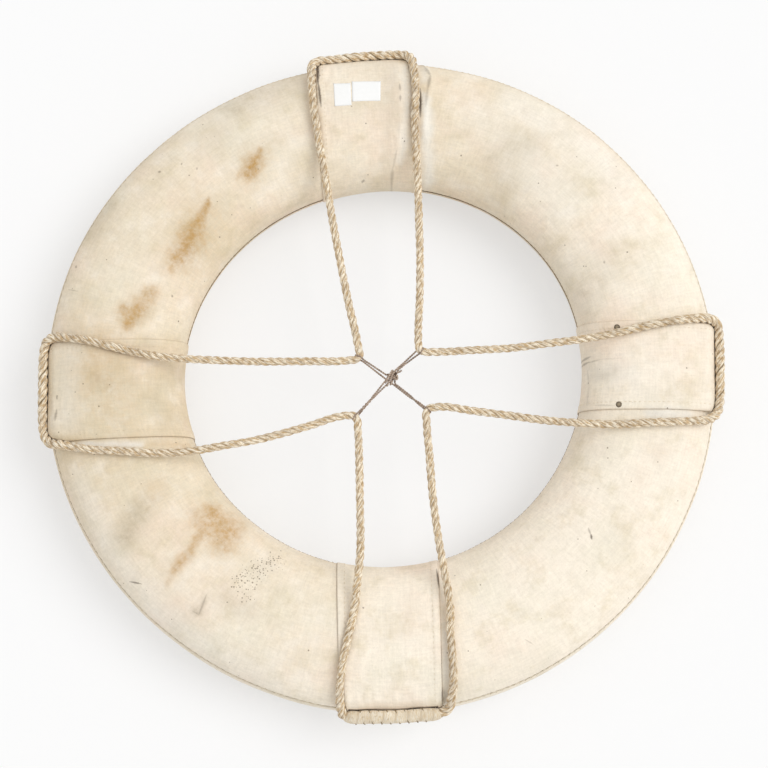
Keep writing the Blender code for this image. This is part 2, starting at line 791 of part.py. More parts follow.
def build_trim():
    iron = material("rusted_iron", (0.16, 0.10, 0.07), 0.7, 0.6)
    paper = material("plain_paper", (0.86, 0.85, 0.80), 0.7)
    mesh = tack_mesh(iron)
    for number, (around, over) in enumerate(tack_places, 1):
        point, _, _, outwards = seat(around, over, band_out + clearance)
        add_object(f"tack_{number}", mesh).matrix_world = facing(point, outwards)
    for number, (spot, size) in enumerate(zip(label_places, label_sizes), 1):
        label(f"paper_label_{number}", *spot, *size, paper)


def build_line():
    hemp = material("hemp_line", (0.50, 0.40, 0.27), 0.85)
    sewing = material("sewing_twine", (0.40, 0.31, 0.21), 0.85)
    loop = smooth_curve(grab_line_route(), closed=True)
    loop = np.vstack([loop, loop[:1]])
    total = lengths_along(loop)[-1]
    free = part_of(loop, line_tails_gap / 2, total - line_tails_gap / 2)
    line = thinned(free, line_turn, line_step, line_ring_step)
    tube("grab_line", line, line_radius, 2, hemp)
    length = lengths_along(line)[-1]

    def beside_the_ends(reach):
        return np.vstack([part_of(line, length - reach, length), part_of(line, 0, reach)])

    half = splice_length / 2
    line_splice("line_splice", with_stations(beside_the_ends(half), splice_taper / 3), hemp)
    on_edge = line_radius + clearance + stitch_radius
    for name, (start, end, over) in stitching_runs.items():
        ends = [length_beside(line, place(around, over, line_on_edge)) for around in (start, end)]
        winding = wound_round(part_of(line, min(ends), max(ends)), on_edge, stitch_pitch)
        tube(name, winding, stitch_radius, 0, sewing)
    on_splice = splice_radius + clearance + stitch_radius
    winding = wound_round(beside_the_ends(half - splice_taper), on_splice, splice_stitch_pitch)
    tube("bottom_stitching", winding, stitch_radius, 0, sewing)
    return loop, total


def build_lashing(loop):
    twine = material("tarred_twine", (0.33, 0.27, 0.20), 0.85)
    route = smooth_curve(twine_route(loop), closed=False, per_span=10)
    points = thinned(route, twine_turn, twine_step)
    tube("twine_lashing", points, twine_radius, 1, twine)
    gap = least_gap(points, 2 * twine_radius)
    print("twine_lashing: least gap to itself", round(1000 * gap, 2), "mm")


clear_scene()
nail_holes = build_cork()
build_canvas(nail_holes)
build_trim()
line_loop, line_length = build_line()
build_lashing(line_loop)
print("grab_line: length round the loop", round(line_length, 3), "m")
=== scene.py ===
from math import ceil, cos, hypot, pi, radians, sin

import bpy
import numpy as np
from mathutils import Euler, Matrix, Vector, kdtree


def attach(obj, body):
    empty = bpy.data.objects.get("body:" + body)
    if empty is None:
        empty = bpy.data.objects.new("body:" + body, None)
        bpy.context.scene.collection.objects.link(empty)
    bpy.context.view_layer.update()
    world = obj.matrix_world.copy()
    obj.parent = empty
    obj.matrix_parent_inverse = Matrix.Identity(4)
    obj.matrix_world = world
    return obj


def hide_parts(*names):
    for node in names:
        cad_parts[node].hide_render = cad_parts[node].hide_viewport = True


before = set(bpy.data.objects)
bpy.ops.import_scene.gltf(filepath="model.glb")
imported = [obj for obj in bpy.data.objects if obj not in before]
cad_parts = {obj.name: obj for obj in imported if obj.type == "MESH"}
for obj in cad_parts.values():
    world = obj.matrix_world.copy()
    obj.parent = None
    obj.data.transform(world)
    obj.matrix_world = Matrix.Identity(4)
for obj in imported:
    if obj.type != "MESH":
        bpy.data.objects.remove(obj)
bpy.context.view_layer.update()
# Cork life ring, seen flat on a pale floor. A canvas cover painted off-white is sewn round cork
# blocks, and four canvas bands hold a three-strand grab line whose loops are lashed together.
# Metres, degrees in "around" (round the ring from +X) and "over" (over its section, from the outer
# edge across the front to the hole and back underneath).

view = {
    "target": (0.0, 0.0, 0.0506),
    "distance": 2.3,
    "tilt": 8.0,          # degrees from straight above, towards -Y
    "lens": 93.45,
    "sensor": 36.0,
    "shift": (0.0025, -0.0030),
}

ring = {
    "outerRadius": 0.381,
    "holeRadius": 0.2257,
    "halfThickness": 0.051,
    "squareness": 2.4,    # 2 is an ellipse
    "outerWaves": [(2, 0.0040, 5.0), (3, 0.0018, 44.7)],    # count, height, crest
    "holeWaves": [(1, 0.0074, 71.0), (2, 0.0052, 15.0), (3, 0.0012, 49.7)],
    "footAngle": 252.0,   # from here to its mirror image the underside is flat
    "outerSeam": 18.0,
    "innerSeam": 180.0,
}

cloth = {
    "wall": 0.0014,
    "clearance": 0.0003,
    "coverSteps": 720,    # round the ring
    "frontRows": 92,
    "backRows": 64,
    "innerRows": 12,
    "softWave": 0.0005,
    "smallWave": 0.00018,
    "fineWave": 0.00006,
    "seamGap": 0.0012,
    "turnedIn": 0.0004,    # how far the edges sink at a seam, over the length after it
    "turnedOver": 0.002,
}

bands = {
    # Middle, in degrees round the ring. Shift: how far the band's middle line lies off that angle's.
    # Lean and flare: how much further off and, as a share, how much wider it is at the outside than
    # halfway. Buff: how much browner than the cover; the left and bottom bands' are lowered, painted
    # light that makes up for the shade they lie in. Dark: the share of brown on its two edges, edge dirt
    # with painted contact shade. Pulled: how far its outer edge is pulled outwards at its two sides
    "top_band": {"middle": 93.2, "width": 0.114, "shift": 0, "lean": 0, "flare": 0.0, "buff": -0.05,
                 "seed": 3, "dark": (0.30, 0.30), "pulled": (0.0027, 0.0004)},
    "left_band": {"middle": 182.0, "width": 0.113, "shift": 0.0045, "lean": 0, "flare": 0.018, "buff": 0.06,
                  "seed": 5, "dark": (0.45, 0.25), "pulled": (0, 0)},
    "bottom_band": {"middle": 271.45, "width": 0.1147, "shift": 0.0006, "lean": 0, "flare": 0.0,
                    "buff": -0.18, "seed": 7, "dark": (0.35, 0.55), "pulled": (0, 0)},
    "right_band": {"middle": 2.0, "width": 0.102, "shift": 0.0018, "lean": -0.0030, "flare": 0.015,
                   "buff": 0.0, "seed": 9, "dark": (0.20, 0.40), "pulled": (0, 0)},
}
bandOut = cloth["clearance"] + cloth["wall"]

line = {
    "radius": 0.00475,
    "strandRadius": 0.00285,
    "strandOffset": 0.00190,
    "lay": 0.030,
    "step": 0.0015,
    "sides": 36,
    "tailsGap": 0.0006,
    "length": 3.24,
    "lift": 0.0004,       # over the bands: on the face, at the turn and just above it
    "knee": 0.0015,
    "rise": 0.0012,
    "sag": 0.0025,        # at the corners by the knot
    "cornerReach": 0.077,
    "measuredReach": [0, 0.2257, 0.3034],    # radii on which the places across the face were measured
    "freeSwell": 0.98,
    "faceSwell": 0.05,    # more than that on the face, and then round the outside
    "outsideSwell": 0.14,
    "unevenSwell": 0.03,
}
lineOnBand = bandOut + cloth["clearance"] + line["radius"]
stitchRadius = 0.0008
lineOnEdge = lineOnBand + 2 * stitchRadius + 2 * cloth["clearance"]

splice = {
    "radius": 0.0073,
    "endRadius": 0.0046,
    "length": 0.106,
    "taper": 0.012,
    "step": 0.0004,
    "sides": 40,
    "stitchPitch": 0.0138,
    "drawnIn": 0.0005,
    "yarnPitch": 0.0016,
    "yarnHeight": 0.00016,
    "lumps": 0.00020,
}
spliceOnEdge = lineOnEdge - line["radius"] + splice["radius"]

thread = {"strandOffset": 0.00030, "strandRadius": 0.00050, "lay": 0.004, "step": 0.0008, "sides": 8}
twine = {
    "radius": 0.0010,
    "strandRadius": 0.00074,
    "strandOffset": 0.00042,
    "lay": 0.0055,
    "step": 0.0005,
    "sides": 14,
}


# Colours, nodes and meshes

def colourOf(code):
    # sRGB hex to linear: below 0.04045 a plain slope, above it the 2.4 power curve
    parts = [int(code[k:k + 2], 16) / 255 for k in (1, 3, 5)]
    return tuple(p / 12.92 if p <= 0.04045 else ((p + 0.055) / 1.055) ** 2.4 for p in parts) + (1.0,)


def connect(tree, node, inputs):
    # Sets a node's inputs, each to a value or by a link: from a socket, or a node's first output in use
    for name, value in dict(inputs).items():
        if isinstance(value, bpy.types.Node):
            value = next(socket for socket in value.outputs if socket.enabled)
        if isinstance(value, bpy.types.NodeSocket):
            tree.links.new(value, node.inputs[name])
        else:
            node.inputs[name].default_value = value


def addNode(tree, kind, inputs=(), **settings):
    node = tree.nodes.new("ShaderNode" + kind)
    for name, value in settings.items():
        setattr(node, name, value)
    connect(tree, node, inputs)
    return node


def newMaterial(name):
    made = bpy.data.materials.new(name)
    made.use_nodes = True
    tree = made.node_tree
    return made, tree, tree.nodes["Principled BSDF"], addNode(tree, "TexCoord").outputs["Object"]


def steps(low, high, value):
    # Smooth step: 0 below low, 1 above high, and 3t^2 - 2t^3 between them. High may be the lower one
    t = np.clip((value - low) / (high - low), 0, 1)
    return t * t * (3 - 2 * t)


def latticeNoise(points, cell, seed):
    # Value noise: a fixed random number at each corner of a lattice of cubes, blended by smooth
    # steps along the three axes. From -1 to 1
    spots = points / cell + 500.0
    low = np.floor(spots).astype(np.int64)
    f = spots - low
    f = f * f * (3 - 2 * f)
    total = np.zeros(points.shape[:-1])
    for corner in range(8):
        step = np.array([corner & 1, corner >> 1 & 1, corner >> 2 & 1])
        at = low + step
        n = (at[..., 0] * 374761393 + at[..., 1] * 668265263 + at[..., 2] * 982451653
             + seed * 1274126177) & 0xffffffff
        n = ((n ^ (n >> 13)) * 1274126177) & 0xffffffff
        value = ((n ^ (n >> 16)) & 0xffff) / 32767.5 - 1
        total += value * np.prod(np.where(step, f, 1 - f), axis=-1)
    return total


def gridFaces(rows, columns, closedRows, closedColumns):
    # Corner indices (row, column) of the quads of a grid, counted past the end where it closes
    i = np.arange(rows if closedRows else rows - 1)
    j = np.arange(columns if closedColumns else columns - 1)
    i, j = np.meshgrid(i, j, indexing="ij")
    i, j = i.ravel(), j.ravel()
    return np.stack([i, i + 1, i + 1, i], -1), np.stack([j, j, j + 1, j + 1], -1)


def meshFrom(name, points, faceSets, uvSets=None, numbers=None):
    # Mesh of arrays of faces, each array holding faces of one corner count
    mesh = bpy.data.meshes.new(name)
    points = np.asarray(points, np.float32).reshape(-1, 3)
    mesh.vertices.add(len(points))
    mesh.vertices.foreach_set("co", points.ravel())
    corners = np.concatenate([f.ravel() for f in faceSets]).astype(np.int32)
    counts = np.concatenate([np.full(len(f), f.shape[1]) for f in faceSets])
    mesh.loops.add(len(corners))
    mesh.loops.foreach_set("vertex_index", corners)
    mesh.polygons.add(len(counts))
    mesh.polygons.foreach_set("loop_start", np.concatenate([[0], np.cumsum(counts)[:-1]]).astype(np.int32))
    if uvSets is not None:
        layer = mesh.uv_layers.new(name="lay")
        flatUv = np.concatenate([u.reshape(-1, 2) for u in uvSets])
        layer.data.foreach_set("uv", flatUv.astype(np.float32).ravel())
    for key, values in (numbers or {}).items():
        attribute = mesh.attributes.new(key, "FLOAT", "POINT")
        attribute.data.foreach_set("value", np.asarray(values, np.float32).ravel())
    mesh.update(calc_edges=True)
    mesh.polygons.foreach_set("use_smooth", np.ones(len(counts), bool))
    return mesh


def addPiece(name, mesh, finish, replaced):
    obj = bpy.data.objects.new(name, mesh)
    bpy.context.scene.collection.objects.link(obj)
    mesh.materials.append(finish)
    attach(obj, "root")
    if replaced:
        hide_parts(*replaced)
    return obj


def gridMesh(name, points, closedRows, closedColumns, uv, numbers, flip=False, caps=False):
    # Quads over a grid of points. The UV grid has one more row or column where the grid closes
    rows, columns = points.shape[:2]
    i, j = gridFaces(rows, columns, closedRows, closedColumns)
    if flip:
        i, j = i[:, ::-1], j[:, ::-1]
    faces = [i % rows * columns + j % columns]
    uvSets = [uv[i, j]]
    flat = points.reshape(-1, 3)
    values = {k: np.asarray(v).ravel() for k, v in numbers.items()}
    if caps:                           # a fan to a middle point at each end of a tube
        flat = np.vstack([flat, points[0].mean(0), points[-1].mean(0)])
        values = {k: np.append(v, [v[0], v[-1]]) for k, v in values.items()}
        k = np.arange(columns)
        after = (k + 1) % columns
        last = (rows - 1) * columns
        count = rows * columns
        near = np.stack([np.full(columns, count), after, k], -1)
        far = np.stack([np.full(columns, count + 1), last + k, last + after], -1)
        if flip:
            near, far = near[:, ::-1], far[:, ::-1]
        faces += [np.vstack([near, far])]
        uvSets += [np.zeros((2 * columns, 3, 2))]
    return meshFrom(name, flat, faces, uvSets, values)


# The ring's surface

def signedPower(value, power):
    return np.sign(value) * np.abs(value) ** power


squareness = ring["squareness"]
footShare = abs(sin(radians(ring["footAngle"]))) ** (2 / squareness)
middleHeight = ring["halfThickness"] * footShare + bandOut
middleRadius = (ring["outerRadius"] + ring["holeRadius"]) / 2


def ringRadii(around):
    # Outside and hole: the mean radius plus, for each wave, its height times the cosine of its count
    # times the angle from its crest
    return [ring[mean] + sum(h * np.cos(n * np.radians(around - crest)) for n, h, crest in ring[waves])
            for mean, waves in (("outerRadius", "outerWaves"), ("holeRadius", "holeWaves"))]


def ringFrame(around, over):
    # Place on the ring and its outward direction. The section is a superellipse: cosine and sine
    # to the power 2 / squareness, times its half sizes, cut flat underneath
    around, over = np.broadcast_arrays(np.asarray(around, float), np.asarray(over, float))
    outside, inside = ringRadii(around)
    halfWidth = (outside - inside) / 2
    x = signedPower(np.cos(np.radians(over)), 2 / squareness)
    z = signedPower(np.sin(np.radians(over)), 2 / squareness)
    nx = signedPower(x, squareness - 1) / halfWidth
    nz = signedPower(z, squareness - 1) / ring["halfThickness"]
    flat = z < -footShare
    z = np.maximum(z, -footShare)
    nx, nz = np.where(flat, 0, nx), np.where(flat, -1, nz)
    length = np.hypot(nx, nz)
    nx, nz = nx / length, nz / length
    ca, sa = np.cos(np.radians(around)), np.sin(np.radians(around))
    spread = (outside + inside) / 2 + halfWidth * x
    point = np.stack([spread * ca, spread * sa, middleHeight + ring["halfThickness"] * z], -1)
    return point, np.stack([nx * ca, nx * sa, nz], -1)


def ringPoint(around, over, lift=0.0):
    point, outwards = ringFrame(around, over)
    return point + outwards * np.asarray(lift, float)[..., None]


def evenOvers(start, end, count):
    # Angles over the section that lie at equal lengths along it, and those lengths
    fine = np.linspace(start, end, 4000)
    points = ringPoint(0.0, fine)
    along = np.concatenate([[0], np.cumsum(np.linalg.norm(np.diff(points, axis=0), axis=1))])
    spots = np.linspace(0, along[-1], count)
    return np.interp(spots, along, fine), spots


def softWave(points):
    # Slow unevenness of the stuffing under the canvas: value noise at three sizes
    return (cloth["softWave"] * latticeNoise(points, 0.075, 1)
            + cloth["smallWave"] * latticeNoise(points, 0.024, 2)
            + cloth["fineWave"] * latticeNoise(points, 0.009, 4))


def lineDistance(x, y, line):
    # Distance in plan from a line through these points, and how far along it from 0 to 1
    points = np.array(line, float) / 1000
    best = np.full(x.shape, 1e9)
    place = np.zeros(x.shape)
    lengths = np.linalg.norm(np.diff(points, axis=0), axis=1)
    starts = np.concatenate([[0], np.cumsum(lengths)]) / lengths.sum()
    for k, (a, b) in enumerate(zip(points, points[1:])):
        way = b - a
        t = np.clip(((x - a[0]) * way[0] + (y - a[1]) * way[1]) / (way @ way), 0, 1)
        away = np.hypot(x - a[0] - t * way[0], y - a[1] - t * way[1])
        nearer = away < best
        best = np.where(nearer, away, best)
        place = np.where(nearer, starts[k] + t * (starts[k + 1] - starts[k]), place)
    return best, place


# Marks on the canvas, in millimetres seen from the front: lines with a half width, or one at each
# end, and a strength

marks = {
    "rust": [
        ([(-198, 204), (-204, 188), (-212, 172), (-219, 158)], (3, 17), 0.84),
        ([(-216, 166), (-223, 150), (-232, 136)], (18, 17), 0.84),
        ([(-230, 142), (-238, 124)], (15, 9), 0.66),
        ([(-207, 182), (-216, 152), (-226, 134)], 25, 0.42),
        ([(-206, 170), (-211, 150)], (9, 15), 0.62),
        ([(-196, 166), (-199, 150)], (12, 9), 0.30),
        ([(-138, 263), (-144, 250), (-149, 239)], (4, 14), 0.80),
        ([(-146, 246), (-150, 236)], (14, 14), 0.92),
        ([(-142, 252), (-152, 234)], 20, 0.40),
        ([(-150, 240), (-166, 229)], (10, 5), 0.60),
        ([(-262, 97), (-268, 86), (-278, 72)], (10, 13), 0.70),
        ([(-276, 76), (-284, 66), (-290, 57)], (15, 9), 0.84),
        ([(-294, 77), (-286, 66)], (9, 13), 0.74),
        ([(-210, 131), (-210, 119)], 5, 0.22),
        ([(-192, -151), (-187, -162), (-173, -175)], (13, 21), 0.80),
        ([(-202, -162), (-190, -174), (-177, -188)], (17, 21), 0.72),
        ([(-196, -160), (-178, -186)], 32, 0.36),
        ([(-198, -172), (-205, -184), (-215, -198), (-225, -210), (-231, -219)], (9.5, 6.5), 0.74),
        ([(-229, -215), (-236, -228), (-240, -237)], (5, 3), 0.45),
        ([(-256, -128), (-258, -140)], 15, 0.28),
        ([(-319, -6), (-311, -10)], 12, 0.22),
        ([(-286, -10), (-281, -13)], 12, 0.20),
        ([(-322, 28), (-304, -36)], 40, 0.36),
        ([(-282, 12), (-276, -30)], 26, 0.20),
        ([(-263, -78), (-239, -78), (-220, -77)], 4.5, 0.35),
        ([(300, -80), (312, -84)], 10, 0.18),
        ([(-80, -306), (-92, -318)], 12, 0.18),
        ([(-338, 76), (-344, 60)], 14, 0.20),
    ],
    # Dirt, and painted shade along a crease and in a fold
    "grimeAndShade": [
        ([(-320, -5), (-310, -10)], 13, 0.20),
        ([(-288, -9), (-281, -12)], 11, 0.16),
        ([(-172, 315), (-139, 328), (-107, 343)], 22, 0.34),
        ([(-316, 197), (-334, 169)], 16, 0.28),
        ([(-190, 290), (-205, 268)], 18, 0.22),
        ([(-272, -152), (-279, -166), (-286, -180)], 16, 0.46),
        # Painted shadow of a fold's wedge
        ([(-197, -250), (-202, -264), (-208, -265)], 5, 0.35),
        ([(-174, -252), (-149, -262)], 14, 0.30),
        ([(-140, -223), (-130, -217)], 12, 0.22),
        ([(141, 222), (129, 244), (155, 266)], 22, 0.30),
        ([(231, 97), (253, 128)], 24, 0.20),
        ([(-241, 4), (-258, -27), (-240, -51)], 16, 0.25),
        ([(8, -285), (24, -270)], 18, 0.10),
        ([(-262, 34), (-256, -40)], 11, 0.16),
        # Painted shade along the top band's crease
        ([(12, 355), (9, 313), (8, 269), (9, 245)], 12, 0.16),
        ([(247, 4), (260, 7)], 8, 0.20),
        ([(300, -30), (330, -20)], 16, 0.12),
    ],
    # Paler cloth: bleached and unstained strips, and painted light where noted
    "pale": [
        ([(49, 316), (53, 273), (52, 231)], 7, 0.85),
        ([(48, 360), (50, 345)], 5, 0.50),
        # Painted highlight on the lit right flank of the top band's crease
        ([(26, 362), (27, 300), (22, 250)], 5, 0.50),
        ([(-347, -79), (-308, -78), (-272, -78)], 4, 0.95),
        ([(238, 8), (270, 2)], 18, 0.4),
        ([(302, -43), (345, -44)], 6.5, 1.0),
        # Painted light: paler on the left outer shoulder, which lies in shade
        ([(-358, 36), (-357, -44)], 20, 0.40),
        ([(72, -290), (73, -366)], 5, 0.55),
        ([(46, 327), (48, 305), (49, 277)], 4, 0.9),
        ([(120, 300), (200, 210)], 26, 0.30),
        # Painted highlight along the outer rim at the upper right
        ([(150, 322), (215, 283), (272, 230)], 24, 0.45),
        # Painted light: paler along the lower left outer shoulder, which lies in shade
        ([(-340, -124), (-313, -181), (-277, -233), (-233, -277), (-181, -313), (-124, -340)], 14, 0.35),
    ],
    "specks": [
        ([(-157, -231), (-144, -224), (-134, -218), (-122, -209)], 9, 0.85),
        ([(-150, -246), (-140, -236)], 8, 0.45),
    ],
}

# Slits, creases and fly spots, too fine for the mesh: ends, half width in millimetres and strength.
# The dark lines of the slits and creases are painted shade, the dots real fly spots. Lines taper to both ends
fineShadeAndSpots = [
    # Painted shadow in a slit
    ((44, 335), (44, 300), 1.8, 0.90),
    # Painted shade along the fold right of the top band
    ((43, 374), (50, 366), 1.6, 0.26),
    ((49, 367), (56, 352), 2.0, 0.34),
    ((56, 353), (53, 335), 2.0, 0.34),
    ((53, 337), (50, 312), 1.8, 0.24),
    ((-283, -231), (-268, -234), 0.9, 0.65),
    ((230, -172), (233, -180), 1.2, 0.40),
    ((233, -179), (234, -185), 1.3, 0.80),
    # Painted shadow of the fold's wedge
    ((-195, -246), (-204, -269), 1.2, 0.30),
    ((-204, -268), (-211, -264), 0.9, 0.22),
    ((-360, 102), (-346, 98), 0.8, 0.25),
    ((158, -295), (168, -301), 0.8, 0.25),
    ((-230, 245), (-230, 246), 1.0, 0.45),
    ((-212, 239), (-212, 240), 0.9, 0.40),
    ((-256, 237), (-255, 237), 1.2, 0.50),
    ((-239, 92), (-239, 93), 1.0, 0.50),
    ((-351, 128), (-351, 129), 1.2, 0.45),
    ((200, 243), (201, 243), 1.0, 0.40),
    ((253, 130), (253, 131), 1.1, 0.40),
]
# Dark lines on the bands, in the same form: mostly painted shade along creases and in gaps beside the line
bandShadeAndSpots = [
    ((-23, 230), (-21, 231), 1.0, 0.45),
    # Painted shade along the top band's crease
    ((20, 340), (21, 331), 1.3, 0.40),
    ((21, 326), (21, 318), 1.3, 0.35),
    ((20, 299), (19, 272), 1.2, 0.10),
    ((18, 265), (12, 240), 1.4, 0.20),
    ((12, 243), (11, 225), 2.0, 0.30),
    # Painted shadow between the line and the top band's left edge
    ((-75, 372), (-74, 339), 1.7, 0.95),
    ((-74, 345), (-70, 311), 1.4, 0.80),
    # Painted shade along the left band's crease
    ((-368, -22), (-368, -25), 1.0, 0.50),
    ((-368, -37), (-370, -50), 1.6, 0.45),
    # Painted shade along the right band's crease
    ((228, 17), (237, 19), 1.3, 0.42),
    ((234, 18), (248, 20), 1.0, 0.24),
    ((245, 20), (272, 20), 1.0, 0.10),
    ((228, 22), (238, 25), 1.4, 0.42),
    ((240, -32), (262, -34), 1.0, 0.22),
    ((235, 10), (236, -9), 0.9, 0.16),
    ((236, -9), (233, -31), 0.9, 0.16),
    # Painted shadow in the gaps between the bottom band's edges and the line
    ((61, -217), (65, -243), 1.5, 0.85),
    ((66, -290), (67.5, -354), 1.1, 0.75),
    ((67.5, -345), (67.5, -368), 1.6, 0.95),
    ((-45, -357), (-43, -371), 1.3, 0.85),
]


# Further buff by the angle round the ring, read from the photograph
buffTrim = [(-140, -0.24), (-110, -0.18), (-70, -0.25), (-50, -0.06), (-20, 0.02), (30, 0.0), (55, 0.14),
            (78, 0.18), (92, -0.02), (115, -0.25), (135, -0.08), (160, -0.16), (180, 0.0), (200, -0.02)]


def markedBy(kind, points):
    # Strength of one kind of mark: a soft edged line, its edge pushed about by noise of two sizes,
    # faded at the back of the ring. Each size has a seed, and the one after it for the other axis
    pushed = 0.0022
    x, y = (points[..., axis] + (latticeNoise(points, 0.018, 31 + axis) * pushed
                                 + latticeNoise(points, 0.007, 33 + axis) * pushed) for axis in (0, 1))
    front = steps(middleHeight - 0.01, middleHeight + 0.01, points[..., 2])
    total = np.zeros(x.shape)
    for way, halfWidth, strength in marks[kind]:
        away, place = lineDistance(x, y, way)
        width = np.interp(place, [0, 1], np.broadcast_to(halfWidth, 2)) / 1000
        total = np.maximum(total, strength * steps(1.8 * width, 0, away))
    return total * front


def paint(points, buffMore=0.0):
    # What the canvas shader reads at each vertex
    x, y = points[..., 0], points[..., 1]
    angle = np.arctan2(y, x)
    buff = (0.34 + 0.36 * np.cos(angle - radians(174)) + 0.12 * latticeNoise(points, 0.09, 11)
            + 0.08 * latticeNoise(points, 0.03, 12) + buffMore
            + np.interp(np.degrees(angle), *zip(*buffTrim), period=360))
    backwards = steps(middleHeight, middleHeight - 0.03, points[..., 2])
    # Beside the line: dirt with painted contact shade, and a dark painted shadow where it meets the cloth
    clear = besideLine(points)
    patchy = 0.65 + 0.35 * latticeNoise(points, 0.012, 15)
    grimeAndShade = (markedBy("grimeAndShade", points)
             + 0.13 * steps(0.1, 0.9, latticeNoise(points, 0.045, 13))
             + 0.10 * steps(0.2, 0.9, latticeNoise(points, 0.014, 14))
             + 0.14 * backwards
             + 0.20 * patchy * steps(0.008, 0.002, clear))
    # Round the outside the cloth is drawn in under the line, and a dark painted shadow line lies beside it,
    # in the crack
    outside = steps(0.340, 0.360, np.hypot(x, y))
    crackShadow = (0.50 + 0.45 * outside) * steps(0.0034 - 0.0012 * outside, 0.0014 - 0.0002 * outside, clear)
    return {
        "buff": np.clip(buff + 0.1 * backwards, 0, 1),
        "rust": markedBy("rust", points),
        "grimeAndShade": np.clip(grimeAndShade, 0, 1),
        "pale": markedBy("pale", points),
        "specks": markedBy("specks", points),
        # The edge share carries the painted shadow beside the line
        "edge": np.clip(patchy + 0.35 * outside, 0, 1) * crackShadow,
    }


# Materials

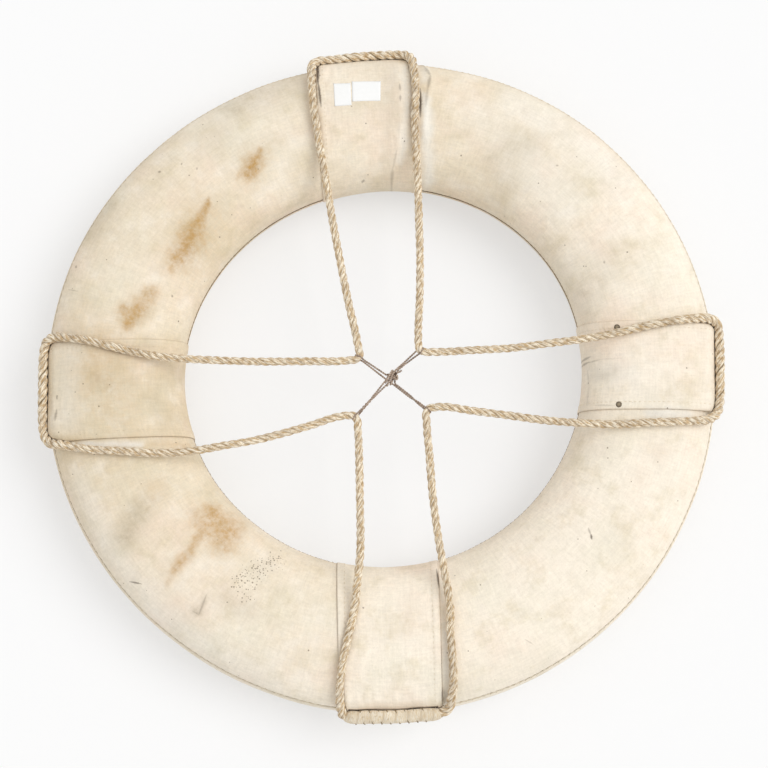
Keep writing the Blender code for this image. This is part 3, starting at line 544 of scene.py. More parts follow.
def paintedCanvas(name, spots):
    # Cotton canvas under old oil paint: matt, cream turned buff, stained by rust and handling. The
    # real threads are 0.8 mm apart. They are drawn coarser: slubs 2.3 mm thick, which read as threads,
    # and faint ridges 7.5 mm apart
    made, tree, shader, place = newMaterial(name)
    lay = addNode(tree, "UVMap", uv_map="lay")
    amount = {key: addNode(tree, "Attribute", attribute_name=key).outputs["Fac"]
              for key in ("buff", "rust", "grimeAndShade", "pale", "specks", "edge")}
    noises = [addNode(tree, "TexNoise", {"Vector": place, "Scale": scale, "Detail": detail,
                                         "Roughness": rough})
              for scale, detail, rough in ((13, 4, 0.6), (34, 6, 0.62), (150, 5, 0.7), (560, 3, 0.6))]
    broad, cloudy, mottled, fine = noises
    # Each layer is a tint, and the share of it that is laid over the layers before it
    yellowing = addNode(tree, "Math", {0: cloudy, 1: 0.9, 2: -0.45}, operation="MULTIPLY_ADD")
    buffTotal = addNode(tree, "Math", {0: amount["buff"], 1: yellowing}, operation="ADD", use_clamp=True)
    layers = [(buffTotal, colourOf("#e2cfae"))]
    # Old paint is uneven: pinkish where it is thin, greyish green where it has been handled
    for source, low, high, most, tint in [(broad, 0.51, 0.68, 0.32, "#fadfca"),
                                          (broad, 0.49, 0.34, 0.28, "#e8e4ce"),
                                          (cloudy, 0.54, 0.70, 0.34, "#dccfb0"),
                                          (cloudy, 0.46, 0.32, 0.30, "#fdf3e4")]:
        share = addNode(tree, "MapRange", {"Value": source, "From Min": low, "From Max": high,
                                           "To Max": most})
        layers.append((share, colourOf(tint)))
    layers.append((amount["pale"], colourOf("#f8f3e8")))
    # Rust, and dirt with painted shade, are broken up by the mottling, most of all towards the edge of a
    # stain
    for key, low, high, least, most, tint in [("rust", 0.31, 0.76, 0.20, 1.0, "#b98a38"),
                                              ("grimeAndShade", 0.36, 0.66, 0.45, 1.2, "#a89a80")]:
        level = addNode(tree, "Math", {0: amount[key], 1: 0.30, 2: mottled}, operation="MULTIPLY_ADD")
        level = addNode(tree, "Math", {0: level, 1: 0.12}, operation="SUBTRACT")
        broken = addNode(tree, "MapRange", {"Value": level, "From Min": low, "From Max": high,
                                            "To Min": least, "To Max": most})
        share = addNode(tree, "Math", {0: amount[key], 1: broken}, operation="MULTIPLY", use_clamp=True)
        layers.append((share, colourOf(tint)))
    # Slits, creases and spots: within the half width of a line in plan, its place shaken a little by noise.
    # The lines are painted shade
    shake = 0.0016
    plan = addNode(tree, "VectorMath", {0: place, 1: (1, 1, 0)}, operation="MULTIPLY")
    shaken = addNode(tree, "VectorMath", {0: fine.outputs["Color"], 1: (shake, shake, 0),
                                          2: plan}, operation="MULTIPLY_ADD")
    shadeLinesAndSpots = 0.0
    for first, last, halfWidth, strength in spots:
        a, b = (Vector((*spot, 0)) / 1000 for spot in (first, last))
        half = halfWidth / 1000
        fromStart = addNode(tree, "VectorMath", {0: shaken, 1: a + Vector((shake / 2, shake / 2, 0))},
                            operation="SUBTRACT")
        share = addNode(tree, "VectorMath", {0: fromStart, 1: (b - a) / (b - a).length_squared},
                        operation="DOT_PRODUCT")
        share = addNode(tree, "Math", {0: share, 1: 0.0}, operation="ADD", use_clamp=True)
        reached = addNode(tree, "VectorMath", {0: b - a, "Scale": share}, operation="SCALE")
        away = addNode(tree, "VectorMath", {0: fromStart, 1: reached}, operation="DISTANCE")
        # Thinner away from its middle: up to 0.9 of the half width is added to the distance
        centred = addNode(tree, "Math", {0: share, 1: 0.5}, operation="SUBTRACT")
        centred = addNode(tree, "Math", {0: centred, 1: centred}, operation="MULTIPLY")
        taper = 3.6 * half if (b - a).length > 0.003 else 0.0
        away = addNode(tree, "Math", {0: centred, 1: taper, 2: away}, operation="MULTIPLY_ADD")
        here = addNode(tree, "MapRange", {"Value": away, "From Min": 1.5 * half,
                                          "From Max": 0.3 * half, "To Max": strength})
        shadeLinesAndSpots = addNode(tree, "Math", {0: shadeLinesAndSpots, 1: here}, operation="MAXIMUM")
    layers.append((shadeLinesAndSpots, colourOf("#4c3a2a")))
    # Dark specks, 0.6 to 1.3 mm across inside a soft edge: sparse, but in clusters where the mesh says
    # so. A cell of the Voronoi pattern has one if its random number is below the share there
    cells = addNode(tree, "TexVoronoi", {"Vector": place, "Scale": 430.0})
    chance = addNode(tree, "SeparateColor", {0: cells.outputs["Color"]})
    share = addNode(tree, "Math", {0: amount["specks"], 1: 0.0025}, operation="ADD")
    chosen = addNode(tree, "Math", {0: chance, 1: share}, operation="LESS_THAN")
    size = addNode(tree, "MapRange", {"Value": chance.outputs[1], "To Min": 0.26, "To Max": 0.56})
    core = addNode(tree, "Math", {0: size, 1: 0.5}, operation="MULTIPLY")
    dot = addNode(tree, "MapRange", {"Value": cells, "From Min": size, "From Max": core, "To Max": 0.72})
    specks = addNode(tree, "Math", {0: chosen, 1: dot}, operation="MULTIPLY")
    layers.append((specks, colourOf("#6b5a44")))
    # Edges are brown with handling and painted contact shade, and the cracks beside the line nearly black
    # with painted shadow
    deep = addNode(tree, "MapRange", {"Value": amount["edge"], "From Min": 0.55, "From Max": 0.85})
    shade = addNode(tree, "Mix", {0: deep, 6: colourOf("#80654a"), 7: colourOf("#3a2c20")}, data_type="RGBA")
    layers.append((amount["edge"], shade))
    colour = colourOf("#fef3e1")
    for share, tint in layers:
        colour = addNode(tree, "Mix", {0: share, 6: colour, 7: tint}, data_type="RGBA")
    # Slubs: thick places in the threads of both ways, drawn out along them
    slubs = []
    for way in ((60, 430, 1), (430, 60, 1)):
        drawn = addNode(tree, "Mapping", {"Vector": lay, "Scale": way})
        slub = addNode(tree, "TexNoise", {"Vector": drawn, "Scale": 1.0, "Detail": 2.0})
        slubs.append(slub)
    for source, least, most in [(mottled, 0.94, 1.03), (fine, 0.96, 1.02),
                                (slubs[0], 0.965, 1.02), (slubs[1], 0.965, 1.02)]:
        grain = addNode(tree, "MapRange", {"Value": source, "From Min": 0.32, "From Max": 0.68,
                                           "To Min": least, "To Max": most})
        colour = addNode(tree, "Mix", {0: 1.0, 6: colour, 7: grain}, data_type="RGBA", blend_type="MULTIPLY")
    # Two sets of ridges square to each other in the cloth's own coordinates. The wave texture has
    # 20 / (2 pi) waves in a length of 1 for each unit of its scale
    ridge = 0.0075398
    warp, weft = (addNode(tree, "TexWave", {"Vector": lay, "Scale": 2 * pi / (20 * ridge), "Distortion": 0.6,
                                            "Detail": 1.0, "Detail Scale": 0.5}, bands_direction=way)
                  for way in ("X", "Y"))
    woven = addNode(tree, "Math", {0: warp.outputs["Fac"], 1: weft.outputs["Fac"]}, operation="ADD")
    below = {}
    for source, height, strength in [(woven, 0.0001, 0.6), (mottled, 0.0009, 0.45), (cloudy, 0.0045, 0.5)]:
        bump = addNode(tree, "Bump", {"Height": source, "Distance": height, "Strength": strength, **below})
        below = {"Normal": bump}
    rough = addNode(tree, "MapRange", {"Value": mottled, "To Min": 0.58, "To Max": 0.86})
    connect(tree, shader, {"Base Color": colour, "Roughness": rough, "Specular IOR Level": 0.3, **below})
    return made


def laidFibre(name, pale, dark, deep, yarnMm):
    # Plant fibre laid into yarns and strands: dull, pale on the worn crowns, with painted shade in the
    # grooves and the yarns as fine lines. U runs along the yarns and V across them, in metres
    made, tree, shader, place = newMaterial(name)
    lay = addNode(tree, "UVMap", uv_map="lay")
    groove, soil = (addNode(tree, "Attribute", attribute_name=key).outputs["Fac"]
                    for key in ("groove", "soil"))
    stretched = addNode(tree, "Mapping", {"Vector": lay, "Scale": (150.0, 1000 / yarnMm, 1.0)})
    yarn = addNode(tree, "TexNoise", {"Vector": stretched, "Scale": 1.0, "Detail": 3.0, "Roughness": 0.6})
    blotch = addNode(tree, "TexNoise", {"Vector": place, "Scale": 75.0, "Detail": 4.0})
    shade = addNode(tree, "MapRange", {"Value": yarn, "From Min": 0.42, "From Max": 0.58})
    patch = addNode(tree, "MapRange", {"Value": blotch, "From Min": 0.35, "From Max": 0.70})
    soiled = addNode(tree, "Math", {0: patch, 1: soil}, operation="MULTIPLY", use_clamp=True)
    # Small dark pits where dirt has gathered between the fibres
    pits = addNode(tree, "TexNoise", {"Vector": place, "Scale": 380.0, "Detail": 3.0, "Roughness": 0.6})
    pitted = addNode(tree, "MapRange", {"Value": pits, "From Min": 0.58, "From Max": 0.70, "To Max": 0.55})
    # The grooves' painted shade and the dirt in the pits both take the deep colour
    hollow = addNode(tree, "Math", {0: groove, 1: pitted}, operation="MAXIMUM")
    colour = colourOf(dark)
    for share, tint in ((shade, pale), (soiled, deep), (hollow, deep)):
        colour = addNode(tree, "Mix", {0: share, 6: colour, 7: colourOf(tint)}, data_type="RGBA")
    bump = addNode(tree, "Bump", {"Height": yarn, "Distance": 0.0008, "Strength": 0.9})
    connect(tree, shader, {"Base Color": colour, "Normal": bump, "Roughness": 0.9,
                           "Specular IOR Level": 0.2, "Sheen Weight": 0.15, "Sheen Roughness": 0.6})
    return made


def rustedIron():
    # Forged iron tack: nearly black scale under brown rust, rough, with no bright metal left
    made, tree, shader, place = newMaterial("rusted forged iron")
    scale = addNode(tree, "TexNoise", {"Vector": place, "Scale": 900.0, "Detail": 5.0, "Roughness": 0.7})
    worn = addNode(tree, "Attribute", attribute_name="worn").outputs["Fac"]
    tint = addNode(tree, "MapRange", {"Value": scale, "From Min": 0.38, "From Max": 0.62, "To Max": 0.5})
    tint = addNode(tree, "Math", {0: worn, 1: 0.6, 2: tint}, operation="MULTIPLY_ADD", use_clamp=True)
    colour = addNode(tree, "Mix", {0: tint, 6: colourOf("#554a3c"), 7: colourOf("#a89a82")},
                     data_type="RGBA")
    metal = addNode(tree, "MapRange", {"Value": scale, "To Min": 0.5, "To Max": 0.05})
    bump = addNode(tree, "Bump", {"Height": scale, "Distance": 0.0005, "Strength": 0.7})
    connect(tree, shader, {"Base Color": colour, "Metallic": metal, "Normal": bump, "Roughness": 0.75})
    return made


def labelPaper():
    # Coated label paper: smooth, bright white, a little uneven where the canvas shows through
    made, tree, shader, place = newMaterial("coated label paper")
    pulp = addNode(tree, "TexNoise", {"Vector": place, "Scale": 260.0, "Detail": 4.0})
    colour = addNode(tree, "Mix", {0: pulp, 6: colourOf("#f4f4f2"), 7: colourOf("#fbfbfa")},
                     data_type="RGBA")
    bump = addNode(tree, "Bump", {"Height": pulp, "Distance": 0.0003, "Strength": 0.3})
    rough = addNode(tree, "MapRange", {"Value": pulp, "To Min": 0.38, "To Max": 0.55})
    connect(tree, shader, {"Base Color": colour, "Roughness": rough, "Normal": bump})
    return made


def naturalCork():
    # Bark cork sawn into blocks: warm brown cells with dark pores along the bark
    made, tree, shader, place = newMaterial("natural bark cork")
    cells = addNode(tree, "TexVoronoi", {"Vector": place, "Scale": 420.0})
    long = addNode(tree, "Mapping", {"Vector": place, "Scale": (1.0, 1.0, 0.35)})
    pores = addNode(tree, "TexNoise", {"Vector": long, "Scale": 190.0, "Detail": 5.0, "Roughness": 0.7})
    gaping = addNode(tree, "MapRange", {"Value": pores, "From Min": 0.58, "From Max": 0.68})
    colour = colourOf("#c39b6a")
    for share, tint in ((cells, "#a87c4c"), (gaping, "#5e4028")):
        colour = addNode(tree, "Mix", {0: share, 6: colour, 7: colourOf(tint)}, data_type="RGBA")
    bump = addNode(tree, "Bump", {"Height": pores, "Distance": 0.001, "Strength": 0.6}, invert=True)
    connect(tree, shader, {"Base Color": colour, "Normal": bump, "Roughness": 0.9})
    return made


def turnedAsh():
    # Ash dowel: pale wood with long open pores along the rod, planed and unvarnished
    made, tree, shader, place = newMaterial("turned ash")
    along = addNode(tree, "Mapping", {"Vector": place, "Scale": (1.0, 1.0, 0.06)})
    grain = addNode(tree, "TexNoise", {"Vector": along, "Scale": 900.0, "Detail": 4.0})
    tint = addNode(tree, "MapRange", {"Value": grain, "From Min": 0.35, "From Max": 0.65})
    colour = addNode(tree, "Mix", {0: tint, 6: colourOf("#b08a5a"), 7: colourOf("#d8bd90")},
                     data_type="RGBA")
    bump = addNode(tree, "Bump", {"Height": grain, "Distance": 0.0003, "Strength": 0.5})
    connect(tree, shader, {"Base Color": colour, "Normal": bump, "Roughness": 0.6})
    return made


# Camera, floor and light

def setView():
    scene = bpy.context.scene
    data = bpy.data.cameras.new("camera")
    data.lens = view["lens"]
    data.sensor_width = view["sensor"]
    data.shift_x, data.shift_y = view["shift"]
    camera = bpy.data.objects.new("camera", data)
    scene.collection.objects.link(camera)
    tilt = radians(view["tilt"])
    away = Vector((0, -sin(tilt), cos(tilt))) * view["distance"]
    camera.location = Vector(view["target"]) + away
    camera.rotation_euler = Euler((tilt, 0, 0))
    scene.camera = camera
    scene.view_settings.view_transform = "Standard"


light = {
    "world": 0.74,        # of the light on a level surface
    "sun": 0.30,
    "sunFrom": (0.68, 0.14, 0.90),
    "sunAngle": 38.0,
    "floorSize": 60.0,
    "floorGlow": 0.5,     # share of plain white in what the camera sees of the floor
}


def seenRays(tree):
    # 1 for the camera's own rays and for those that are mirrored or let through
    rays = addNode(tree, "LightPath").outputs
    seen = rays["Is Camera Ray"]
    for kind in ("Is Glossy Ray", "Is Transmission Ray"):
        seen = addNode(tree, "Math", {0: seen, 1: rays[kind]}, operation="MAXIMUM")
    return seen


def setLight():
    world = bpy.data.worlds.new("soft studio")
    bpy.context.scene.world = world
    world.use_nodes = True
    tree = world.node_tree
    tree.nodes.clear()
    soft = addNode(tree, "Background", {"Color": colourOf("#ffffff"), "Strength": light["world"]})
    white = addNode(tree, "Background", {"Color": colourOf("#ffffff"), "Strength": 1.0})
    both = addNode(tree, "MixShader", {0: seenRays(tree), 1: soft, 2: white})
    addNode(tree, "OutputWorld", {"Surface": both})
    way = Vector(light["sunFrom"]).normalized()
    data = bpy.data.lights.new("window", "SUN")
    data.energy = light["sun"] * pi / way.z
    data.angle = radians(light["sunAngle"])
    sun = bpy.data.objects.new("window", data)
    sun.rotation_euler = way.to_track_quat("Z", "Y").to_euler()
    bpy.context.scene.collection.objects.link(sun)


def addFloor():
    # White paper: to the camera it is nearly pure white, and to the light a plain pale surface
    made, tree, shader, place = newMaterial("white background paper")
    seen = seenRays(tree)
    grain = addNode(tree, "TexNoise", {"Vector": place, "Scale": 3.0, "Detail": 2.0})
    shown = addNode(tree, "Mix", {0: grain, 6: colourOf("#f8f8f8"), 7: colourOf("#fafafa")},
                    data_type="RGBA")
    colour = addNode(tree, "Mix", {0: seen, 6: colourOf("#efefef"), 7: shown}, data_type="RGBA")
    connect(tree, shader, {"Base Color": colour, "Roughness": 1.0, "Specular IOR Level": 0.0})
    glow = addNode(tree, "Emission", {"Color": colourOf("#fbfbfb"), "Strength": 1.0})
    share = addNode(tree, "Math", {0: seen, 1: light["floorGlow"]}, operation="MULTIPLY")
    both = addNode(tree, "MixShader", {0: share, 1: shader, 2: glow})
    connect(tree, tree.nodes["Material Output"], {"Surface": both})
    half = light["floorSize"] / 2
    mesh = meshFrom("floor", [(-half, -half, 0), (half, -half, 0), (half, half, 0), (-half, half, 0)],
                    [np.array([[0, 1, 2, 3]])])
    obj = bpy.data.objects.new("floor", mesh)
    mesh.materials.append(made)
    bpy.context.scene.collection.objects.link(obj)


# Curves

def lengthsAlong(points):
    return np.concatenate([[0], np.cumsum(np.linalg.norm(np.diff(points, axis=0), axis=1))])


def atLength(points, spots):
    along = lengthsAlong(points)
    return np.stack([np.interp(spots, along, points[:, axis]) for axis in range(3)], -1)


def smoothCurve(points, closed, perSpan=24):
    # Centripetal Catmull-Rom curve: between two points, three levels of linear blends of four
    # neighbours, with the time between points the square root of their distance
    points = np.asarray(points, float)
    if closed:
        padded = np.vstack([points[-1:], points, points[:2]])
    else:
        padded = np.vstack([2 * points[0] - points[1], points, 2 * points[-1] - points[-2]])
    p = [padded[k:len(padded) - 3 + k, None] for k in range(4)]
    gaps = [np.linalg.norm(p[k + 1] - p[k], axis=2, keepdims=True) ** 0.5 for k in range(3)]
    times = [np.zeros_like(gaps[0]), gaps[0], gaps[0] + gaps[1], gaps[0] + gaps[1] + gaps[2]]
    t = times[1] + (times[2] - times[1]) * np.linspace(0, 1, perSpan, endpoint=False)[None, :, None]

    def blend(a, b, k, m):
        return (times[m] - t) / (times[m] - times[k]) * a + (t - times[k]) / (times[m] - times[k]) * b

    a1, a2, a3 = (blend(p[k], p[k + 1], k, k + 1) for k in range(3))
    b1, b2 = blend(a1, a2, 0, 2), blend(a2, a3, 1, 3)
    samples = blend(b1, b2, 1, 2).reshape(-1, 3)
    return samples if closed else np.vstack([samples, points[-1:]])


def evenRun(points, step):
    # The same line with points at equal lengths, no further apart than the step
    total = lengthsAlong(points)[-1]
    return atLength(points, np.linspace(0, total, ceil(total / step) + 1))


def partOf(points, start, end):
    along = lengthsAlong(points)
    keep = (along > start + 1e-6) & (along < end - 1e-6)
    ends = atLength(points, [start, end])
    return np.vstack([ends[:1], points[keep], ends[1:]])


def carriedFrames(points):
    # Two directions square to the line at each point, carried along it without twist
    tangents = np.gradient(points, axis=0)
    tangents /= np.linalg.norm(tangents, axis=1)[:, None]
    side = np.cross(tangents[0], (0, 0, 1))
    firsts = np.empty_like(points)
    for k, tangent in enumerate(tangents):
        side = side - tangent * (side @ tangent)
        side /= np.linalg.norm(side)
        firsts[k] = side
    return firsts, np.cross(tangents, firsts)


def lobedRadius(angle, lobes, offset, radius):
    # Outline of equal circles set round a middle: offset times the cosine of the angle from the
    # nearest circle's middle, plus the rest of that circle's chord
    span = 2 * pi / lobes
    a = (angle + span / 2) % span - span / 2
    return offset * np.cos(a) + np.sqrt(np.maximum(radius ** 2 - (offset * np.sin(a)) ** 2, 0))


def spun(angle, first, second):
    # One direction times the cosine of an angle, plus another times its sine
    return np.cos(angle)[..., None] * first + np.sin(angle)[..., None] * second


def tubeNoise(along, angle, reach, seed):
    # Noise on a tube that closes round it
    spots = np.broadcast_arrays(along, reach * np.cos(angle), reach * np.sin(angle))
    return latticeNoise(np.stack(spots, -1), 1.0, seed)


def laidTube(name, path, lobes, laid, soil, swell=1.0):
    # Rope: its lobed outline carried along the path, turned right-handed once every lay
    offset, radius, lay, sides = (laid[key] for key in ("strandOffset", "strandRadius", "lay", "sides"))
    firsts, seconds = carriedFrames(path)
    along = lengthsAlong(path)[:, None]
    local = np.linspace(0, 2 * pi, sides, endpoint=False)
    turned = local[None] + 2 * pi * along / lay
    outline = lobedRadius(local, lobes, offset, radius)
    spread = outline[None] * np.broadcast_to(swell, len(path))[:, None]
    spread = spread + 0.018 * offset * tubeNoise(along / 0.004, turned, 3, 41)
    points = path[:, None] + spread[..., None] * spun(turned, firsts[:, None], seconds[:, None])
    depth = (outline.max() - outline) / (outline.max() - outline.min())
    uneven = latticeNoise(np.stack([along / 0.006] * 3, -1), 1.0, 43)
    # Painted shade in the grooves between the strands, uneven along the rope
    groove = (0.62 + 0.34 * uneven) * depth[None] ** 3
    soilGrid = np.broadcast_to(np.asarray(soil, float).reshape(-1, 1), turned.shape)
    uv = np.empty((len(path), sides + 1, 2))
    # The yarns turn half as fast as the strands that they are laid into
    yarns = turned - pi * along / lay
    uv[..., 0] = along
    uv[..., 1] = np.hstack([yarns, yarns[:, :1] + 2 * pi]) * (offset + radius)
    return gridMesh(name, points, False, True, uv, {"groove": groove, "soil": soilGrid}, caps=True, flip=True)


# Grab line

def across(x, y):
    # Point over the face or the hole, which hangs a little lower towards the middle
    reach = hypot(x, y)
    moved = np.interp(reach, line["measuredReach"], [0, ring["holeRadius"], middleRadius])
    drop = np.interp(reach, [line["cornerReach"], line["measuredReach"][1]], [line["sag"], 0])
    return np.array([x * moved / reach, y * moved / reach, faceHeight - drop])


def lineRoute():
    # Places on the ring, as angles round it and over it and a height, and across the face, all read
    # from the photograph
    lift, knee, rise = (lineOnBand + line[key] for key in ("lift", "knee", "rise"))
    edge, tucked = lineOnEdge, spliceOnEdge
    r, a = ringPoint, across
    return [
        r(271.8, 26, tucked), r(276.4, 26, tucked), r(279.6, 24, tucked - 0.0004),
        r(281.3, 27.5, edge + 0.0006), r(282.0, 39, edge), r(282.7, 50, knee), r(283.2, 60, rise),
        r(283.9, 76, rise), r(284.7, 90, lift),
        a(0.0755, -0.2620), a(0.0705, -0.2270), a(0.0635, -0.1890), a(0.0570, -0.1410),
        a(0.0530, -0.0900), a(0.0503, -0.0580), a(0.0510, -0.0400), a(0.0680, -0.0362),
        a(0.1000, -0.0406), a(0.1440, -0.0464), a(0.1820, -0.0516), a(0.2300, -0.0553),
        a(0.2620, -0.0565), r(349.8, 90, lift), r(350.7, 76, rise), r(351.6, 57, rise),
        r(352.3, 43, knee), r(353.7, 30, edge), r(355.6, 25.5, edge), r(361.5, 25, edge),
        r(365.8, 21, edge), r(368.7, 17, edge), r(369.7, 24, edge), r(370.3, 38, knee), r(370.5, 57, rise),
        r(370.6, 76, rise), r(370.6, 90, lift), a(0.2600, 0.0465), a(0.2226, 0.0400),
        a(0.1820, 0.0349), a(0.1445, 0.0303), a(0.1000, 0.0280), a(0.0620, 0.0262),
        a(0.0432, 0.0281), a(0.0409, 0.0445), a(0.0425, 0.0850), a(0.0431, 0.1345),
        a(0.0420, 0.1750), a(0.0410, 0.2148), a(0.0395, 0.2500), r(82.9, 90, lift),
        r(83.2, 76, rise), r(83.7, 60, rise), r(84.1, 49, knee), r(84.7, 36, edge + 0.0026),
        r(85.7, 27, edge + 0.0032), r(87.8, 22, edge + 0.0020), r(93.7, 20, edge + 0.0006),
        r(99.0, 19, edge + 0.0004), r(101.3, 20, edge + 0.0014), r(102.5, 30, edge + 0.0010),
        r(103.0, 44, knee), r(103.5, 58, rise), r(104.1, 76, rise), r(104.6, 90, lift),
        a(-0.0688, 0.2500), a(-0.0624, 0.2148), a(-0.0565, 0.1780),
        a(-0.0502, 0.1438), a(-0.0392, 0.0880), a(-0.0284, 0.0395), a(-0.0264, 0.0200),
        a(-0.0440, 0.0160), a(-0.0850, 0.0155), a(-0.1400, 0.0150), a(-0.1900, 0.0165),
        a(-0.2371, 0.0190), a(-0.2680, 0.0235), r(174.0, 90, lift), r(173.3, 76, rise),
        r(173.1, 57, rise), r(173.1, 41, knee), r(173.9, 30, edge), r(175.7, 26.5, edge),
        r(182.2, 27, edge), r(186.8, 22, edge), r(189.6, 20.5, edge), r(191.3, 30, edge), r(192.1, 44, knee),
        r(193.3, 59, rise), r(194.9, 76, rise), r(196.4, 90, lift), a(-0.2540, -0.0887),
        a(-0.2165, -0.0870), a(-0.1773, -0.0803), a(-0.1393, -0.0735), a(-0.0850, -0.0588),
        a(-0.0470, -0.0470), a(-0.0300, -0.0477), a(-0.0269, -0.0660), a(-0.0255, -0.1000),
        a(-0.0247, -0.1410), a(-0.0242, -0.1990), a(-0.0279, -0.2366), a(-0.0305, -0.2620),
        r(262.7, 90, lift), r(262.3, 76, rise), r(262.3, 58, rise), r(262.6, 43, knee),
        r(262.9, 33, edge), r(263.6, 23, tucked - 0.0012), r(265.2, 23, tucked), r(268.0, 25.5, tucked),
    ]


faceHeight = float(ringPoint(90, 90, lineOnBand)[2])
lineLoop = smoothCurve(lineRoute(), closed=True)
lineLoop = np.vstack([lineLoop, lineLoop[:1]])
lineTotal = lengthsAlong(lineLoop)[-1]
linePath = evenRun(partOf(lineLoop, line["tailsGap"] / 2, lineTotal - line["tailsGap"] / 2), line["step"])
setView()
print("camera set; grab line", round(lengthsAlong(linePath)[-1], 3), "m")

hemp = laidFibre("hemp laid as three strands", "#fff4de", "#ccaf85", "#82684a", 2.0)
splicedHemp = laidFibre("hemp yarn served and painted", "#fff8e8", "#f3e2c3", "#a3875e", 1.1)
sewing = laidFibre("waxed sewing twine", "#b59f7a", "#8a7453", "#5f4e36", 0.5)
tarred = laidFibre("tarred hemp twine", "#e6d2bf", "#a98e79", "#4e3b2c", 0.5)


def addLine():
    # Stretched thin where it hangs free, and swollen with paint and wear round the outside
    reach = np.hypot(linePath[:, 0], linePath[:, 1])
    outside = steps(0.345, 0.372, reach)
    uneven = latticeNoise(np.stack([lengthsAlong(linePath)] * 3, -1), 0.021, 42)
    swell = (line["freeSwell"] + line["faceSwell"] * steps(0.20, 0.26, reach)
             + line["outsideSwell"] * outside + line["unevenSwell"] * uneven)
    soil = 0.25 + 0.20 * steps(0.20, 0.33, reach) - 0.15 * outside
    mesh = laidTube("grabLine", linePath, 3, line, soil, swell)
    return addPiece("grabLine", mesh, hemp, ["grab_line"])


def splicePath(half, step):
    # The line's two ends, joined at the middle of the splice
    total = lengthsAlong(linePath)[-1]
    return evenRun(np.vstack([partOf(linePath, total - half, total), partOf(linePath, 0, half)]), step)


def addSplice():
    # The two tails lie married under a service of yarn, round after round, which is drawn in every
    # 14 mm by the stitches that hold it to the band
    path = splicePath(splice["length"] / 2, splice["step"])
    firsts, seconds = carriedFrames(path)
    along = lengthsAlong(path)
    turn = np.linspace(0, 2 * pi, splice["sides"], endpoint=False)
    s, t = np.meshgrid(along, turn, indexing="ij")
    # A quarter of an ellipse at each end
    grown = np.sqrt(1 - (1 - np.clip(np.minimum(s, along[-1] - s) / splice["taper"], 0, 1)) ** 2)
    noise = tubeNoise(s / 0.006, t, 2, 52)
    slanted = s + splice["yarnPitch"] * np.sin(t + 0.6) + 0.0005 * noise
    drawnIn = 1 - np.abs(np.sin(pi * slanted / splice["stitchPitch"])) ** 0.45
    yarns = 0.5 - 0.5 * np.cos(2 * pi * slanted / splice["yarnPitch"])
    radius = (splice["endRadius"] + (splice["radius"] - splice["endRadius"]) * grown
              - splice["drawnIn"] * drawnIn * grown + splice["yarnHeight"] * yarns + splice["lumps"] * noise)
    points = path[:, None] + radius[..., None] * spun(t, firsts[:, None], seconds[:, None])
    uv = np.empty((len(path), len(turn) + 1, 2))
    uv[..., 0] = np.linspace(0, 2 * pi, len(turn) + 1)[None] * splice["radius"]
    uv[..., 1] = np.concatenate([slanted, slanted[:, :1]], axis=1)
    # Painted shade between the yarns and where the stitches draw the service in
    groove = np.clip(0.35 * (1 - yarns) ** 3 + 0.5 * drawnIn ** 2, 0, 1)
    mesh = gridMesh("lineSplice", points, False, True, uv, {"groove": groove, "soil": groove * 0 + 0.35},
                    flip=True, caps=True)
    return addPiece("lineSplice", mesh, splicedHemp, ["line_splice"])


grabLine = addLine()
lineSplice = addSplice()


# Stitching that sews the line to the bands: a thread that lies in the rope's grooves

stitching = {
    # Angles round the ring from which and to which a run goes, and how far over the section
    "runs": {
        "top_stitching": (88.2, 99.4, 19),
        "left_stitching": (177.2, 187.6, 25),
        "right_stitching": (356.8, 366.6, 24),
    },
    "spread": 0.0041,
    "step": 0.0006,
    "splicePitch": 0.0098,
    "spliceSpread": 0.0060,
    "spliceProud": 0.0016,
}


def lengthBeside(points, spot):
    spots = np.arange(0, lengthsAlong(points)[-1], line["radius"] / 8)
    return spots[np.argmin(np.linalg.norm(atLength(points, spots) - spot, axis=1))]


def addThread(name, path, turned, spread, first, second):
    # A helix about the path, by the angle that it has turned at each point
    helix = path + spread * spun(turned, first, second)
    piece = name.replace("_s", "S")
    mesh = laidTube(piece, evenRun(helix, thread["step"]), 2, thread, 0.6)
    return addPiece(piece, mesh, sewing, [name])


def addStitching():
    made = []
    firsts, seconds = carriedFrames(linePath)
    for name, (start, end, over) in stitching["runs"].items():
        start, end = sorted(lengthBeside(linePath, ringPoint(around, over, lineOnEdge))
                            for around in (start, end))
        path = evenRun(partOf(linePath, start, end), stitching["step"])
        here = start + lengthsAlong(path)
        first, second = (np.stack([np.interp(here, lengthsAlong(linePath), way[:, k]) for k in range(3)], -1)
                         for way in (firsts, seconds))
        turned = 2 * pi * here / line["lay"] + pi / 3
        made.append(addThread(name, path, turned, stitching["spread"], first, second))
    return made


def addSpliceStitching():
    # The thread shows along the two edges, and is drawn into the strands in front and behind
    path = splicePath(splice["length"] / 2 - splice["taper"], stitching["step"])
    turned = 2 * pi * lengthsAlong(path) / stitching["splicePitch"]
    spread = (stitching["spliceSpread"] + stitching["spliceProud"] * np.cos(turned) ** 2)[:, None]
    return addThread("bottom_stitching", path, turned, spread, *carriedFrames(path))


threads = addStitching() + [addSpliceStitching()]
print("grab line, splice and its stitching made")

lineTree = kdtree.KDTree(len(linePath))
for place, spot in enumerate(linePath):
    lineTree.insert(spot, place)
lineTree.balance()


def besideLine(points):
    # Clear distance from the line, or from the splice round the line's two ends
    found = np.array([lineTree.find(spot)[1:] for spot in points.reshape(-1, 3)])
    along = lengthsAlong(linePath)[found[:, 0].astype(int)]
    spliced = np.minimum(along, lengthsAlong(linePath)[-1] - along) < splice["length"] / 2
    return (found[:, 1] - np.where(spliced, splice["radius"], line["radius"])).reshape(points.shape[:-1])


# Twine lashing at the middle

